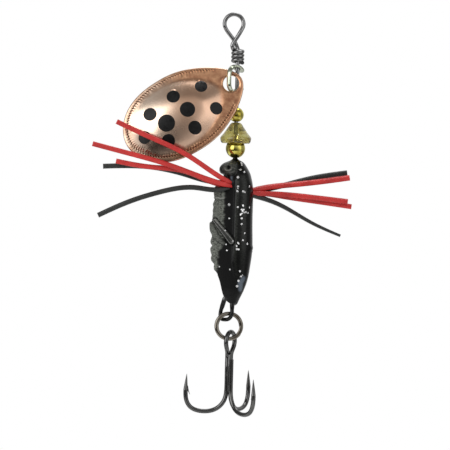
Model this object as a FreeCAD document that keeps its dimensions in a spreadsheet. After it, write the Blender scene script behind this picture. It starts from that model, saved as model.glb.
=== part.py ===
"""Inline spinner: a fishing lure built on one bent spring-steel wire.

A line eye is bent at the top of the shaft and closed by three wraps. A folded clevis
carries a dished blade that turns round the shaft above three bearing beads. A heavy
insect-shaped body is cast on the shaft and threaded with five rubber legs. A loop under
the body holds a split ring, and the ring holds a brazed treble hook.

Units are millimetres. +Z runs up the shaft, the shaft axis is X = 0, Y = 0, and the
origin is level with the middle of the line eye. The front of the lure faces -Y.
"""
import FreeCAD, Part

import math
import os

import Sketcher
from FreeCAD import Placement, Rotation, Vector

SIZES = [
    ("wire_diameter", 0.8, "shaft wire"),
    ("running_gap", 0.075, "radial clearance of everything that turns on the shaft"),
    ("stack_gap", 0.1, "end play between neighbouring beads"),
    ("eye_width", 3.0, "inner width of the line eye"),
    ("eye_offset", 0.9, "line eye centre, left of the shaft"),
    ("eye_rise", 0.52, "centre of the eye's round top above the origin"),
    ("eye_cross_drop", 2.95, "where the eye's two legs cross, below the origin"),
    ("wrap_drop", 4.65, "top wrap below the origin"),
    ("wrap_count", 2.75, "turns of wire that close the eye"),
    ("wrap_seat", 0.02, "gap between the wraps and the shaft"),
    ("wrap_gap", 0.15, "gap between neighbouring wraps"),
    ("clevis_gap", 0.2125, "end play between the lowest wrap and the clevis"),
    ("clevis_span", 4.8, "clevis height over both tabs"),
    ("clevis_reach", 3.8, "clevis depth from the shaft axis"),
    ("clevis_width", 1.1, "width of the clevis strip"),
    ("clevis_thickness", 0.4, "thickness of the clevis strip"),
    ("clevis_tab_length", 1.85, "half length of a clevis tab"),
    ("clevis_tab_breadth", 1.2, "half breadth of a clevis tab"),
    ("clevis_heading", 236.3, "direction the clevis points, degrees from +X"),
    ("blade_length", 26.7, "blade from end to end"),
    ("blade_width", 16.4, "blade at its widest"),
    ("blade_thickness", 0.5, "blade sheet"),
    ("blade_dome", 2.3, "depth of the blade's dish"),
    ("blade_rim", 1.7, "flat rim round the dish"),
    ("blade_nose", 4.4, "flat end of the blade, from its narrow end to the dish"),
    ("blade_hole", 3.2, "diameter of the blade's hole"),
    ("blade_hole_inset", 2.42, "hole centre from the blade's narrow end"),
    ("blade_hole_reach", 2.16, "hole centre from the shaft axis"),
    ("blade_hole_drop", 1.25, "hole centre below the clevis's middle"),
    ("blade_droop", 33.1, "blade axis below the horizontal, degrees"),
    ("blade_lean", 10.0, "blade face turned up from the vertical, degrees"),
    ("bead_play", 3.475, "free shaft between the clevis and the upper bead"),
    ("upper_bead_diameter", 3.0, "upper bead"),
    ("lower_bead_diameter", 3.9, "lower bead"),
    ("bell_diameter", 6.2, "bell bead at its widest"),
    ("bell_height", 4.15, "bell bead from rim to top"),
    ("bell_top_diameter", 1.9, "flat top of the bell bead"),
    ("bell_rim_height", 1.1, "widest level of the bell above its rim"),
    ("bell_cavity_height", 1.05, "depth of the hollow under the bell"),
    ("bell_wall", 0.45, "wall of the bell at its rim"),
    ("neck_height", 0.6, "bare neck above the body's shoulders"),
    ("neck_diameter", 1.1, "neck"),
    ("body_length", 28.75, "body below its neck"),
    ("body_depth", 8.4, "body from belly to back, at its deepest"),
    ("body_breadth", 6.6, "body from flank to flank, at its broadest"),
    ("body_turn", 20.0, "back turned towards the front, degrees"),
    ("leg_diameter", 1.0, "rubber leg"),
    ("leg_squeezed", 0.6, "rubber leg where it is squeezed in its hole"),
    ("leg_hole", 1.8, "hole through the body for the legs"),
    ("leg_hole_slack", 0.02, "gap between a squeezed leg and the wall of its hole"),
    ("leg_hole_drop", 5.4, "near mouth of the leg hole below the neck's top"),
    ("leg_hole_fall", 1.1, "far mouth of the leg hole below its near mouth"),
    ("leg_hole_offset", 1.4, "leg hole's centre line from the shaft axis"),
    ("leg_hole_heading", 53.0, "direction of the leg hole, degrees from +X"),
    ("tail_loop_spread", 3.0, "distance between the tail loop's two legs"),
    ("tail_loop_depth", 2.85, "tail loop below the body, to its wire's centre"),
    ("tail_loop_offset", 1.03, "tail loop centre, left of the shaft"),
    ("tail_loop_turn", 40.0, "tail loop turned about the shaft, degrees"),
    ("tail_seat", 1.6, "how far the tail loop's ends reach up into the body"),
    ("ring_diameter", 5.8, "split ring over its coils"),
    ("ring_radial", 0.68, "split ring wire, across the ring's plane"),
    ("ring_axial", 0.44, "split ring wire, along the ring's axis"),
    ("ring_coil_gap", 0.02, "gap between the split ring's two coils"),
    ("ring_turns", 1.9, "turns of the split ring"),
    ("ring_slack", 0.5, "gap between the ring's inside and the tail loop"),
    ("ring_offset", 0.43, "ring centre, left of the shaft"),
    ("ring_forward", 0.1, "ring's plane in front of the tail loop's middle"),
    ("ring_turn", 10.0, "ring turned about the vertical, degrees"),
    ("hook_wire_diameter", 0.9, "hook wire"),
    ("hook_solder_gap", 0.02, "solder between neighbouring hook shanks"),
    ("hook_slack", 0.64, "gap between the ring and the top of the hook eye"),
    ("hook_offset", 0.05, "hook shank axis, left of the shaft"),
    ("hook_eye_spread", 3.9, "distance between the hook eye's two legs"),
    ("hook_eye_neck", 0.1, "hook eye's round, from its foot down to the shank"),
    ("hook_eye_turn", 64.0, "hook eye turned about the shank, degrees"),
    ("hook_shank", 7.95, "straight shank below the hook eye"),
    ("hook_gape", 8.05, "distance from shank to point wire, centre to centre"),
    ("hook_point_height", 3.5, "height of a point above the bend's centre"),
    ("hook_taper", 3.2, "length of a sharpened point"),
    ("hook_barb", 0.42, "height of a barb"),
    ("hook_heading", 183.7, "direction of the first hook, degrees from +X"),
    ("hook_tilt", 5.5, "treble hook tilted back where it hangs in the ring, degrees"),
]

doc = FreeCAD.newDocument("inline_spinner")
sheet = doc.addObject("Spreadsheet::Sheet", "sizes")
for row, (alias, number, meaning) in enumerate(SIZES, start=1):
    sheet.set(f"A{row}", meaning)
    sheet.set(f"B{row}", str(number))
    sheet.setAlias(f"B{row}", alias)
doc.recompute()

UP = Vector(0, 0, 1)
WRAP_STEPS = 8          # bends in one turn of a wrap
RUN_SHARE = 0.499       # share of a straight run that one bend may take
SHORTEST_RUN = 1e-6     # a shorter run between two bends is left out
LEG_BEND = 40           # largest bend of a free leg, in leg diameters
parts = []


# ---------------------------------------------------------------- helpers

def size(alias):
    """A driving dimension, read from the sheet."""
    return float(sheet.get(alias))


def polar(radius, azimuth, height=0.0):
    """A point given by its distance from the Z axis, direction and height."""
    angle = math.radians(azimuth)
    return Vector(radius * math.cos(angle), radius * math.sin(angle), height)


def primitive(kind, name, **bound):
    """A Part primitive whose sizes are expressions in the sheet's words."""
    made = doc.addObject(kind, name)
    for property_name, expression in bound.items():
        made.setExpression(property_name, expression)
    return made


def shape_feature(name, shape):
    """A feature that holds a shape made with Part's own functions."""
    made = doc.addObject("Part::Feature", name)
    made.Shape = shape
    return made


def fuse(name, pieces):
    """Join pieces into one solid."""
    made = doc.addObject("Part::MultiFuse", name)
    made.Shapes = pieces
    made.Refine = False
    return made


def cut(name, base, tool):
    """Take tool away from base."""
    made = doc.addObject("Part::Cut", name)
    made.Base = base
    made.Tool = tool
    return made


def finish_part(feature, label):
    """Name a sub-part and keep it for the export."""
    feature.Label = label
    parts.append(feature)
    return feature


def rounded_path(points, radii):
    """Straight runs joined by tangent arcs, each as wide as its runs allow up to its radius."""
    edges = []
    start = points[0]
    for before, corner, after, radius in zip(points, points[1:], points[2:], radii):
        back = before - corner
        ahead = after - corner
        turn = math.pi - back.getAngle(ahead)
        room = RUN_SHARE * min(back.Length, ahead.Length)
        tangent = min(radius * math.tan(turn / 2), room)
        bend = tangent / math.tan(turn / 2)
        back.normalize()
        ahead.normalize()
        entry = corner + back * tangent
        leave = corner + ahead * tangent
        bisector = (back + ahead).normalize()
        middle = corner + bisector * (math.hypot(tangent, bend) - bend)
        if (entry - start).Length > SHORTEST_RUN:
            edges.append(Part.LineSegment(start, entry).toShape())
        edges.append(Part.Arc(entry, middle, leave).toShape())
        start = leave
    edges.append(Part.LineSegment(start, points[-1]).toShape())
    return Part.Wire(edges)


def swept(name, path, section, frenet=False):
    """A solid that follows a path with a section already placed at the path's start."""
    made = doc.addObject("Part::Sweep", name)
    made.Sections = [section]
    made.Spine = (path, [f"Edge{index + 1}" for index in range(len(path.Shape.Edges))])
    made.Solid = True
    made.Frenet = frenet
    return made


def round_section(name, diameter, start, direction):
    """A circle across a wire's start; diameter is an expression."""
    circle = primitive("Part::Circle", name, Radius=f"({diameter}) / 2")
    circle.Placement = Placement(start, Rotation(UP, direction))
    return circle


def bent_wire(name, points, radii, diameter):
    """A round wire through points, with one radius for each bend or one for them all."""
    if isinstance(radii, float):
        radii = [radii] * (len(points) - 2)
    path = shape_feature(f"{name}_path", rounded_path(points, radii))
    section = round_section(f"{name}_section", diameter, points[0], points[1] - points[0])
    return swept(name, path, section)


def ball(name, diameter, centre):
    """A sphere that rounds off a wire's end or joins two wires."""
    made = primitive("Part::Sphere", name, Radius=f"({diameter}) / 2")
    made.Placement.Base = centre
    return made


def straight(name, start, end, diameter):
    """A straight round rod between two points."""
    rod = primitive("Part::Cylinder", name, Radius=f"({diameter}) / 2")
    rod.Height = (end - start).Length
    rod.Placement = Placement(start, Rotation(UP, end - start))
    return rod


# ---------------------------------------------------------------- levels down the shaft

wire = size("wire_diameter")
wrap_pitch = wire + size("wrap_gap")
wrap_reach = wire + size("wrap_seat")
wrap_bottom = size("wrap_drop") + size("wrap_count") * wrap_pitch + wire / 2
clevis_top = wrap_bottom + size("clevis_gap")
clevis_middle = clevis_top + size("clevis_span") / 2
upper_bead_top = clevis_top + size("clevis_span") + size("bead_play")
upper_bead_centre = upper_bead_top + size("upper_bead_diameter") / 2
bell_top = upper_bead_top + size("upper_bead_diameter") + size("stack_gap")
bell_rim = bell_top + size("bell_height")
lower_bead_top = bell_rim - size("bell_cavity_height") + size("stack_gap")
lower_bead_centre = lower_bead_top + size("lower_bead_diameter") / 2
neck_top = lower_bead_top + size("lower_bead_diameter") + size("stack_gap")
body_top = neck_top + size("neck_height")
body_bottom = body_top + size("body_length")
tail_bottom = body_bottom + size("tail_loop_depth")
ring_radius = size("ring_diameter") / 2
ring_inside = ring_radius - size("ring_radial")
ring_middle = tail_bottom - wire / 2 - size("ring_slack") + ring_inside
hook_wire = size("hook_wire_diameter")
hook_top = ring_middle + ring_inside - size("hook_slack") - hook_wire / 2


# ---------------------------------------------------------------- shaft wire

def wrap_route():
    """The wire's closing end: turns round the shaft, from the lowest one upwards."""
    steps = round(WRAP_STEPS * size("wrap_count"))
    corner_reach = wrap_reach / math.cos(math.pi / WRAP_STEPS)
    points = []
    for step in range(steps + 1):
        below = (steps - step) * wrap_pitch / WRAP_STEPS
        azimuth = 180 - (steps - step) * 360 / WRAP_STEPS
        points.append(polar(corner_reach, azimuth, -size("wrap_drop") - below))
    return points


def round_top(radius, lean):
    """Corners, from right to left, that a round top of one radius bends round.

    The two legs under the top lean in towards each other by lean, in degrees.
    """
    sweep = (180 + 2 * lean) / 3
    reach = radius / math.cos(math.radians(sweep / 2))
    corners = []
    for corner_angle in (90 - sweep, 90, 90 + sweep):
        angle = math.radians(corner_angle)
        corners.append(Vector(reach * math.cos(angle), 0, reach * math.sin(angle)))
    return corners


def line_eye_route():
    """Out of the wraps, over the teardrop eye and back to the top of the shaft."""
    half = wire / 2
    round_radius = size("eye_width") / 2 + half
    centre = Vector(-size("eye_offset"), 0, size("eye_rise"))
    cross_drop = size("eye_cross_drop")
    lean = math.degrees(math.asin(round_radius / (cross_drop + size("eye_rise"))))
    neck = -0.8 * size("eye_offset")
    neck_level = -(cross_drop + size("wrap_drop")) / 2
    return [
        Vector(neck - half, -half, neck_level),
        Vector(neck, -half, -cross_drop),
        *[centre + corner for corner in round_top(round_radius, lean)],
        Vector(neck, half, -cross_drop),
        Vector(neck + half, half, neck_level),
        Vector(0, 0, half - size("wrap_drop")),
    ]


def tail_loop_route():
    """The shaft's foot: bent aside inside the body, round the loop and back inside."""
    across = Rotation(UP, -size("tail_loop_turn")).multVec(Vector(1, 0, 0))
    half_spread = size("tail_loop_spread") / 2
    centre = Vector(-size("tail_loop_offset"), 0, -body_bottom)
    foot = Vector(0, 0, -size("tail_loop_depth"))
    knee = foot + Vector(0, 0, half_spread)
    inside = Vector(0, 0, size("tail_seat"))
    return [
        3 * inside - Vector(0, 0, body_bottom),
        centre + across * half_spread + inside,
        centre + across * half_spread + foot,
        centre - across * half_spread + foot,
        centre - across * half_spread + knee,
        centre - across * (half_spread / 4) + inside,
    ]


def make_shaft_wire():
    """One wire: wraps, line eye, shaft and tail loop."""
    route = wrap_route() + line_eye_route() + tail_loop_route()
    bend_radius = size("eye_width") / 2 + wire / 2
    made = bent_wire("shaft_wire", route, bend_radius, "sizes.wire_diameter")
    return finish_part(made, "shaft_wire")


# ---------------------------------------------------------------- clevis and blade

def make_clevis():
    """A folded strip: two leaf-shaped tabs on the shaft, joined by a round bow."""
    span = "sizes.clevis_span"
    strip = "sizes.clevis_thickness"
    bow_start = "(sizes.clevis_reach - sizes.clevis_span / 2)"
    outer = primitive("Part::Cylinder", "bow_outside", Radius=f"{span} / 2",
                      Height="sizes.clevis_width")
    inner = primitive("Part::Cylinder", "bow_inside", Radius=f"{span} / 2 - {strip}",
                      Height="sizes.clevis_width")
    for half_disc in (outer, inner):
        half_disc.Angle = 180
        half_disc.Placement.Rotation = Rotation(Vector(0, 0, -1), Vector(1, 0, 0), Vector(0, -1, 0))
        half_disc.setExpression("Placement.Base.x", bow_start)
        half_disc.setExpression("Placement.Base.y", "sizes.clevis_width / 2")
    pieces = [cut("bow", outer, inner)]
    for level, name in ((f"{span} / 2 - {strip}", "upper"), (f"-{span} / 2", "lower")):
        arm = primitive("Part::Box", f"{name}_arm", Length=bow_start,
                        Width="sizes.clevis_width", Height=strip)
        arm.setExpression("Placement.Base.y", "-sizes.clevis_width / 2")
        arm.setExpression("Placement.Base.z", level)
        leaf = primitive("Part::Ellipse", f"{name}_leaf", MajorRadius="sizes.clevis_tab_length",
                         MinorRadius="sizes.clevis_tab_breadth")
        tab = primitive("Part::Extrusion", f"{name}_tab", LengthFwd=strip)
        tab.Base = leaf
        tab.DirMode = "Normal"
        tab.Solid = True
        tab.setExpression("Placement.Base.z", level)
        pieces += [arm, tab]
    bore = primitive("Part::Cylinder", "clevis_bore",
                     Radius="sizes.wire_diameter / 2 + sizes.running_gap", Height=span)
    bore.setExpression("Placement.Base.z", f"-{span} / 2")
    clevis = cut("clevis", fuse("clevis_strip", pieces), bore)
    clevis.Placement = Placement(
        Vector(0, 0, -clevis_middle), Rotation(UP, size("clevis_heading")))
    return finish_part(clevis, "clevis")


# Half outline of the blade: share of its length from the narrow end, share of half width.
BLADE_OUTLINE = [
    (0.035, 0.27), (0.12, 0.53), (0.25, 0.78), (0.40, 0.955), (0.56, 1.0),
    (0.71, 0.95), (0.84, 0.79), (0.945, 0.49),
]


def blade_outline(nose, inset, height):
    """The blade's outline, drawn in by nose at its narrow end and by inset elsewhere."""
    length = size("blade_length")
    long_share = 1 - (nose + inset) / length
    wide_share = 1 - 2 * inset / size("blade_width")
    half = [Vector(along * length, across * size("blade_width") / 2, 0)
            for along, across in BLADE_OUTLINE]
    other = [Vector(point.x, -point.y, 0) for point in reversed(half)]
    ring = [Vector(0, 0, 0), *half, Vector(length, 0, 0), *other]
    placed = []
    for point in ring:
        along = nose + point.x * long_share - size("blade_hole_inset")
        placed.append(Vector(along, point.y * wide_share, height))
    curve = Part.BSplineCurve()
    curve.interpolate(placed, PeriodicFlag=True)
    return Part.Wire(curve.toShape())


# Steps up the dish: share of the way in from its edge, share of its depth.
DISH_STEPS = [(0.0, 0.0), (0.2, 0.42), (0.45, 0.78), (0.75, 0.97)]


def dished_solid(lift):
    """The dome of the blade, raised by lift."""
    edge_in = size("blade_width") / 2 - size("blade_rim")
    nose_in = size("blade_length") / 2 - size("blade_nose")
    sections = []
    for share, rise in DISH_STEPS:
        nose = size("blade_nose") + share * nose_in
        inset = size("blade_rim") + share * edge_in
        sections.append(blade_outline(nose, inset, lift + rise * size("blade_dome")))
    return Part.makeLoft(sections, True, False)


def blade_pose():
    """Where the hole's centre and the blade's axes lie."""
    heading = size("clevis_heading")
    hole = polar(size("blade_hole_reach"), heading, -clevis_middle - size("blade_hole_drop"))
    droop = math.radians(size("blade_droop"))
    lean = math.radians(size("blade_lean"))
    face = Vector(0, -math.cos(lean), math.sin(lean))
    down = Vector(0, -math.sin(lean), -math.cos(lean))
    along = Vector(-1, 0, 0) * math.cos(droop) + down * math.sin(droop)
    return Placement(hole, Rotation(along, face.cross(along), face))


def make_blade():
    """A dished sheet-metal blade with a flat rim and one hole."""
    thickness = size("blade_thickness")
    plate = Part.Face(blade_outline(0, 0, -thickness / 2)).extrude(Vector(0, 0, thickness))
    outside = dished_solid(thickness / 2)
    inside = dished_solid(-thickness / 2)
    hole = Part.makeCylinder(size("blade_hole") / 2, 4 * thickness, Vector(0, 0, -2 * thickness))
    blade = shape_feature("blade", plate.fuse(outside).cut(inside).cut(hole))
    blade.Placement = blade_pose()
    return finish_part(blade, "blade")


# ---------------------------------------------------------------- beads

BORE_RADIUS = "sizes.wire_diameter / 2 + sizes.running_gap"


def make_round_bead(name, diameter, level):
    """A ball drilled through for the shaft."""
    whole = primitive("Part::Sphere", f"{name}_ball", Radius=f"sizes.{diameter} / 2")
    bore = primitive("Part::Cylinder", f"{name}_bore", Radius=BORE_RADIUS,
                     Height=f"sizes.{diameter}")
    bore.setExpression("Placement.Base.z", f"-sizes.{diameter} / 2")
    bead = cut(name, whole, bore)
    bead.Placement.Base.z = -level
    return finish_part(bead, name)


def profile_sketch(body, plane_role, corners):
    """A closed outline whose every corner is bound to two expressions."""
    sketch = body.newObject("Sketcher::SketchObject", f"{body.Name}_profile")
    plane = next(item for item in body.Origin.OriginFeatures if item.Role == plane_role)
    sketch.AttachmentSupport = [(plane, "")]
    sketch.MapMode = "FlatFace"
    count = len(corners)
    values = [
        Vector(*(float(sheet_value(expression)) for expression in corner), 0)
        for corner in corners
    ]
    for index in range(count):
        sketch.addGeometry(Part.LineSegment(values[index], values[(index + 1) % count]), False)
    for index in range(count):
        following = (index + 1) % count
        sketch.addConstraint(Sketcher.Constraint("Coincident", index, 2, following, 1))
    for index, corner in enumerate(corners):
        for kind, expression, value in zip(("DistanceX", "DistanceY"), corner, values[index]):
            number = sketch.addConstraint(Sketcher.Constraint(kind, -1, 1, index, 1, value))
            sketch.setExpression(f"Constraints[{number}]", expression)
    return sketch


def sheet_value(expression):
    """The number that an expression in the sheet's words comes to."""
    return sheet.evalExpression(expression.replace("sizes.", ""))


def make_bell_bead():
    """A translucent bell: a cone with a round shoulder and a hollow underneath."""
    bore = BORE_RADIUS
    mouth = "sizes.bell_diameter / 2 - 2 * sizes.bell_wall"
    corners = [
        (bore, "sizes.bell_cavity_height"),
        (f"0.62 * ({mouth})", "sizes.bell_cavity_height"),
        (f"0.93 * ({mouth})", "0.6 * sizes.bell_cavity_height"),
        (mouth, "0"),
        ("sizes.bell_diameter / 2 - sizes.bell_wall", "0"),
        ("0.96 * sizes.bell_diameter / 2", "0.45 * sizes.bell_rim_height"),
        ("sizes.bell_diameter / 2", "sizes.bell_rim_height"),
        ("0.93 * sizes.bell_diameter / 2", "1.3 * sizes.bell_rim_height"),
        ("sizes.bell_top_diameter / 2", "sizes.bell_height"),
        (bore, "sizes.bell_height"),
    ]
    body = doc.addObject("PartDesign::Body", "bell_bead")
    sketch = profile_sketch(body, "XZ_Plane", corners)
    turned = body.newObject("PartDesign::Revolution", "bell_turned")
    turned.Profile = sketch
    turned.ReferenceAxis = (sketch, ["V_Axis"])
    turned.Angle = 360
    body.Placement.Base.z = -bell_rim
    return finish_part(body, "bell_bead")


# ---------------------------------------------------------------- body

# Each station: share of the length, then belly, back and flank as shares of half the
# depth and half the breadth.
BODY_STATIONS = [
    (0.00, 0.34, 0.30, 0.34),
    (0.02, 0.60, 0.48, 0.58),
    (0.05, 0.74, 0.58, 0.74),
    (0.11, 0.72, 0.76, 0.86),
    (0.18, 0.82, 0.86, 0.96),
    (0.28, 1.00, 0.86, 1.00),
    (0.44, 1.08, 0.90, 1.00),
    (0.58, 1.07, 0.93, 0.95),
    (0.71, 0.93, 0.82, 0.86),
    (0.79, 0.70, 0.74, 0.74),
    (0.87, 0.54, 0.62, 0.60),
    (0.94, 0.38, 0.46, 0.44),
    (1.00, 0.04, 0.30, 0.20),
]
NECK_SEAT = 0.1     # how deep the neck is set in the body, as a share of its length


def make_insect_body(shaft_wire):
    """A casting on the shaft: lofted ovals, a neck, and a hole for the legs."""
    half_depth = size("body_depth") / 2
    half_breadth = size("body_breadth") / 2
    turn = Rotation(UP, -size("body_turn"))
    sections = []
    for along, belly, back, flank in BODY_STATIONS:
        reach = (belly + back) / 2 * half_depth
        centre = (back - belly) / 2 * half_depth
        level = -body_top - along * size("body_length")
        breadth = flank * half_breadth
        oval = Part.Ellipse(Vector(0, 0, 0), max(reach, breadth), min(reach, breadth)).toShape()
        quarter = Rotation(UP, 0 if reach >= breadth else 90)
        oval.Placement = Placement(turn.multVec(Vector(centre, 0, 0)) + Vector(0, 0, level),
                                   turn * quarter)
        sections.append(Part.Wire(oval))
    hull = shape_feature("body_hull", Part.makeLoft(sections, True, False))
    neck = primitive("Part::Cylinder", "body_neck", Radius="sizes.neck_diameter / 2",
                     Height=f"sizes.neck_height + {NECK_SEAT} * sizes.body_length")
    neck.Placement.Base.z = -body_top - NECK_SEAT * size("body_length")
    near, far = leg_hole_line()
    reach = (far - near).normalize() * half_depth
    hole = straight("leg_hole", near - reach, far + reach, "sizes.leg_hole")
    whole = fuse("body_whole", [hull, neck])
    drilled = cut("body_drilled", whole, hole)
    return finish_part(cut("insect_body", drilled, shaft_wire), "insect_body")


# ---------------------------------------------------------------- rubber legs

def leg_hole_line():
    """Centre line of the leg hole between its two mouths."""
    heading = size("leg_hole_heading")
    beside = polar(size("leg_hole_offset"), heading - 90)
    half_run = size("body_breadth") / 2
    middle = neck_top + size("leg_hole_drop") + size("leg_hole_fall") / 2
    run = polar(half_run, heading)
    fall = Vector(0, 0, size("leg_hole_fall") / 2)
    centre = beside + Vector(0, 0, -middle)
    return centre - run + fall, centre + run - fall


# Free ends of each leg, out from the near and the far mouth of the hole to the tips.
# Points are measured from the mouth.
LEGS = {
    "leg_red_1": (
        [(-2.3, -1.9, 1.55), (-9.0, -3.6, 5.6), (-16.5, -4.4, 9.2), (-22.9, -4.6, 12.1)],
        [(3.2, 1.2, 0.9), (7.4, 1.9, 1.5), (12.3, 2.4, 2.1), (20.0, 2.6, 3.3)],
    ),
    "leg_black_1": (
        [(-3.1, 0.45, 0.9), (-9.0, -0.2, 2.1), (-16.3, -0.7, 3.3), (-25.5, -0.9, 3.2)],
        [(2.7, 2.6, 1.0), (6.2, 3.4, 1.8), (12.3, 3.9, 3.2), (19.5, 4.0, 4.3)],
    ),
    "leg_red_3": (
        [(-3.0, -0.87, 0.22), (-8.8, -1.7, 2.2), (-16.3, -2.1, 3.3), (-22.9, -2.4, 4.3)],
        [(3.2, 2.2, -0.35), (6.8, 2.6, -0.8), (12.4, 2.9, -1.5), (20.5, 2.9, -2.5)],
    ),
    "leg_black_2": (
        [(-2.7, -1.0, -0.92), (-7.0, -1.6, -0.6), (-14.3, -2.4, -1.75),
         (-19.9, -2.6, -3.65), (-26.2, -2.6, -6.6)],
        [(3.1, 1.5, -1.4), (4.9, 1.8, -2.0), (8.3, 2.1, -3.6), (12.5, 2.3, -5.9),
         (18.4, 2.3, -8.4)],
    ),
    "leg_red_2": (
        [(-2.6, -2.0, 0.4), (-12.6, -3.3, 3.75), (-20.1, -3.6, 5.8), (-27.6, -3.6, 7.6)],
        [(3.3, 0.9, -0.3), (7.0, 1.2, -0.4), (12.4, 1.4, -0.8), (19.7, 1.4, -1.5)],
    ),
}


def make_leg(name, place, near_points, far_points):
    """One rubber strand: thin through the body, full size where it is free."""
    near, far = leg_hole_line()
    along = (far - near).normalize()
    across = along.cross(UP).normalize()
    rise = across.cross(along)
    ring = (size("leg_hole") - size("leg_squeezed")) / 2 - size("leg_hole_slack")
    angle = 2 * math.pi * (place + 0.75) / len(LEGS)
    offset = across * (ring * math.cos(angle)) + rise * (ring * math.sin(angle))
    lead = along * size("leg_squeezed")
    ends = [(near + offset - lead, near, near_points), (far + offset + lead, far, far_points)]
    thin = "sizes.leg_squeezed"
    full = "sizes.leg_diameter"
    pieces = [straight(f"{name}_inside", ends[0][0], ends[1][0], thin)]
    for side, (mouth, origin, steps) in enumerate(ends):
        points = [origin + Vector(*step) for step in steps]
        taper = primitive("Part::Cone", f"{name}_taper_{side}", Radius1=f"{thin} / 2",
                          Radius2=f"{full} / 2")
        taper.Height = (points[0] - mouth).Length
        taper.Placement = Placement(mouth, Rotation(UP, points[0] - mouth))
        pieces += [
            ball(f"{name}_mouth_{side}", thin, mouth),
            taper,
            ball(f"{name}_joint_{side}", full, points[0]),
            bent_wire(f"{name}_free_{side}", points, LEG_BEND * size("leg_diameter"), full),
        ]
    return finish_part(fuse(name, pieces), name)


# ---------------------------------------------------------------- split ring

def make_split_ring():
    """A flat-wire ring of almost two coils."""
    pitch = size("ring_axial") + size("ring_coil_gap")
    coil = primitive(
        "Part::Helix", "ring_path",
        Pitch="sizes.ring_axial + sizes.ring_coil_gap",
        Height="sizes.ring_turns * (sizes.ring_axial + sizes.ring_coil_gap)",
        Radius="(sizes.ring_diameter - sizes.ring_radial) / 2",
    )
    doc.recompute()
    start = coil.Shape.Edges[0].valueAt(coil.Shape.Edges[0].FirstParameter)
    flat = primitive("Part::Plane", "ring_section", Length="sizes.ring_radial",
                     Width="sizes.ring_axial")
    turn = Rotation(Vector(1, 0, 0), Vector(0, 0, 1), Vector(0, -1, 0))
    half = Vector(size("ring_radial") / 2, 0, size("ring_axial") / 2)
    flat.Placement = Placement(start - half, turn)
    ring = swept("split_ring", coil, flat, frenet=True)
    normal = Rotation(UP, size("ring_turn")).multVec(Vector(0, -1, 0))
    upright = Rotation(UP.cross(normal), UP, normal)
    centre = Vector(-size("ring_offset"), ring_line(-size("ring_offset")), -ring_middle)
    ring.Placement = Placement(centre - normal * (size("ring_turns") * pitch / 2), upright)
    return finish_part(ring, "split_ring")


def ring_line(across):
    """Depth of the ring's plane at a place across the lure."""
    slope = math.tan(math.radians(size("ring_turn")))
    return (across + size("tail_loop_offset")) * slope - size("ring_forward")


# ---------------------------------------------------------------- hooks

hook_bend = size("hook_gape") / 2
shank_reach = (hook_wire + size("hook_solder_gap")) / math.sqrt(3)
point_reach = shank_reach + size("hook_gape")
shank_top = -hook_top - size("hook_eye_spread") - size("hook_eye_neck")
shank_bottom = shank_top - size("hook_shank")
point_top = shank_bottom + size("hook_point_height")
taper_start = point_top - size("hook_taper")


def beside_hooks(reach, heading, level):
    """A point beside the axis that the three hooks share."""
    across = -size("hook_offset")
    return Vector(across, ring_line(across), 0) + polar(reach, heading, level)


def hook_route(heading, top):
    """From the foot of the point, round the bend and up the shank."""
    return [
        beside_hooks(point_reach, heading, taper_start),
        beside_hooks(point_reach, heading, shank_bottom - hook_bend),
        beside_hooks(shank_reach, heading, shank_bottom - hook_bend),
        beside_hooks(shank_reach, heading, top),
    ]


def hook_eye_corners():
    """Corners of the eye's round top, from the far leg to the near one."""
    radius = size("hook_eye_spread") / 2
    rise = radius + size("hook_eye_neck")
    lean = math.asin(radius / math.hypot(rise, shank_reach)) - math.atan(shank_reach / rise)
    centre = beside_hooks(0, 0, -hook_top - radius)
    turn = Rotation(UP, size("hook_eye_turn"))
    return [centre + turn.multVec(corner) for corner in round_top(radius, math.degrees(lean))]


def hook_tip(name, heading):
    """The sharpened point and the barb under it."""
    point = primitive("Part::Cone", f"{name}_point", Radius1="sizes.hook_wire_diameter / 2",
                      Radius2="sizes.hook_wire_diameter / 20", Height="sizes.hook_taper")
    point.Placement.Base = beside_hooks(point_reach, heading, taper_start)
    root = point_reach - hook_wire / 4
    tip = point_reach - hook_wire / 2 - size("hook_barb")
    corners = [
        beside_hooks(root, heading, taper_start + hook_wire),
        beside_hooks(tip, heading, taper_start - hook_wire),
        beside_hooks(root, heading, taper_start - hook_wire / 2),
    ]
    side = polar(hook_wire / 5, heading + 90)
    outline = Part.makePolygon([corner - side for corner in [*corners, corners[0]]])
    barb = shape_feature(f"{name}_barb", Part.Face(outline).extrude(side * 2))
    return [point, barb]


def hang(hook):
    """Tilt a hook back about the place where its eye hangs in the ring."""
    tilt = Rotation(Vector(1, 0, 0), size("hook_tilt"))
    hook.Placement = Placement(Vector(0, 0, 0), tilt, beside_hooks(0, 0, -hook_top))


def make_double_hook():
    """One wire: a hook, the eye, and a second hook."""
    first = size("hook_heading")
    second = first - 120
    ease = 1.5 * hook_wire
    eye_bend = size("hook_eye_spread") / 2
    radii = [hook_bend, hook_bend, ease, eye_bend, eye_bend, eye_bend, ease, hook_bend, hook_bend]
    route = hook_route(second, shank_top) + hook_eye_corners()
    route += reversed(hook_route(first, shank_top))
    wire_piece = bent_wire("double_wire", route, radii, "sizes.hook_wire_diameter")
    tips = hook_tip("first", first) + hook_tip("second", second)
    hang(finish_part(fuse("double_hook", [wire_piece, *tips]), "double_hook"))


def make_single_hook():
    """The third hook, whose shank ends a little lower, under the eye."""
    heading = size("hook_heading") + 120
    route = hook_route(heading, shank_top - 2 * hook_wire)
    wire_piece = bent_wire("single_wire", route, hook_bend, "sizes.hook_wire_diameter")
    hang(finish_part(fuse("single_hook", [wire_piece, *hook_tip("single", heading)]),
                     "single_hook"))


# ---------------------------------------------------------------- build and export

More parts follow.
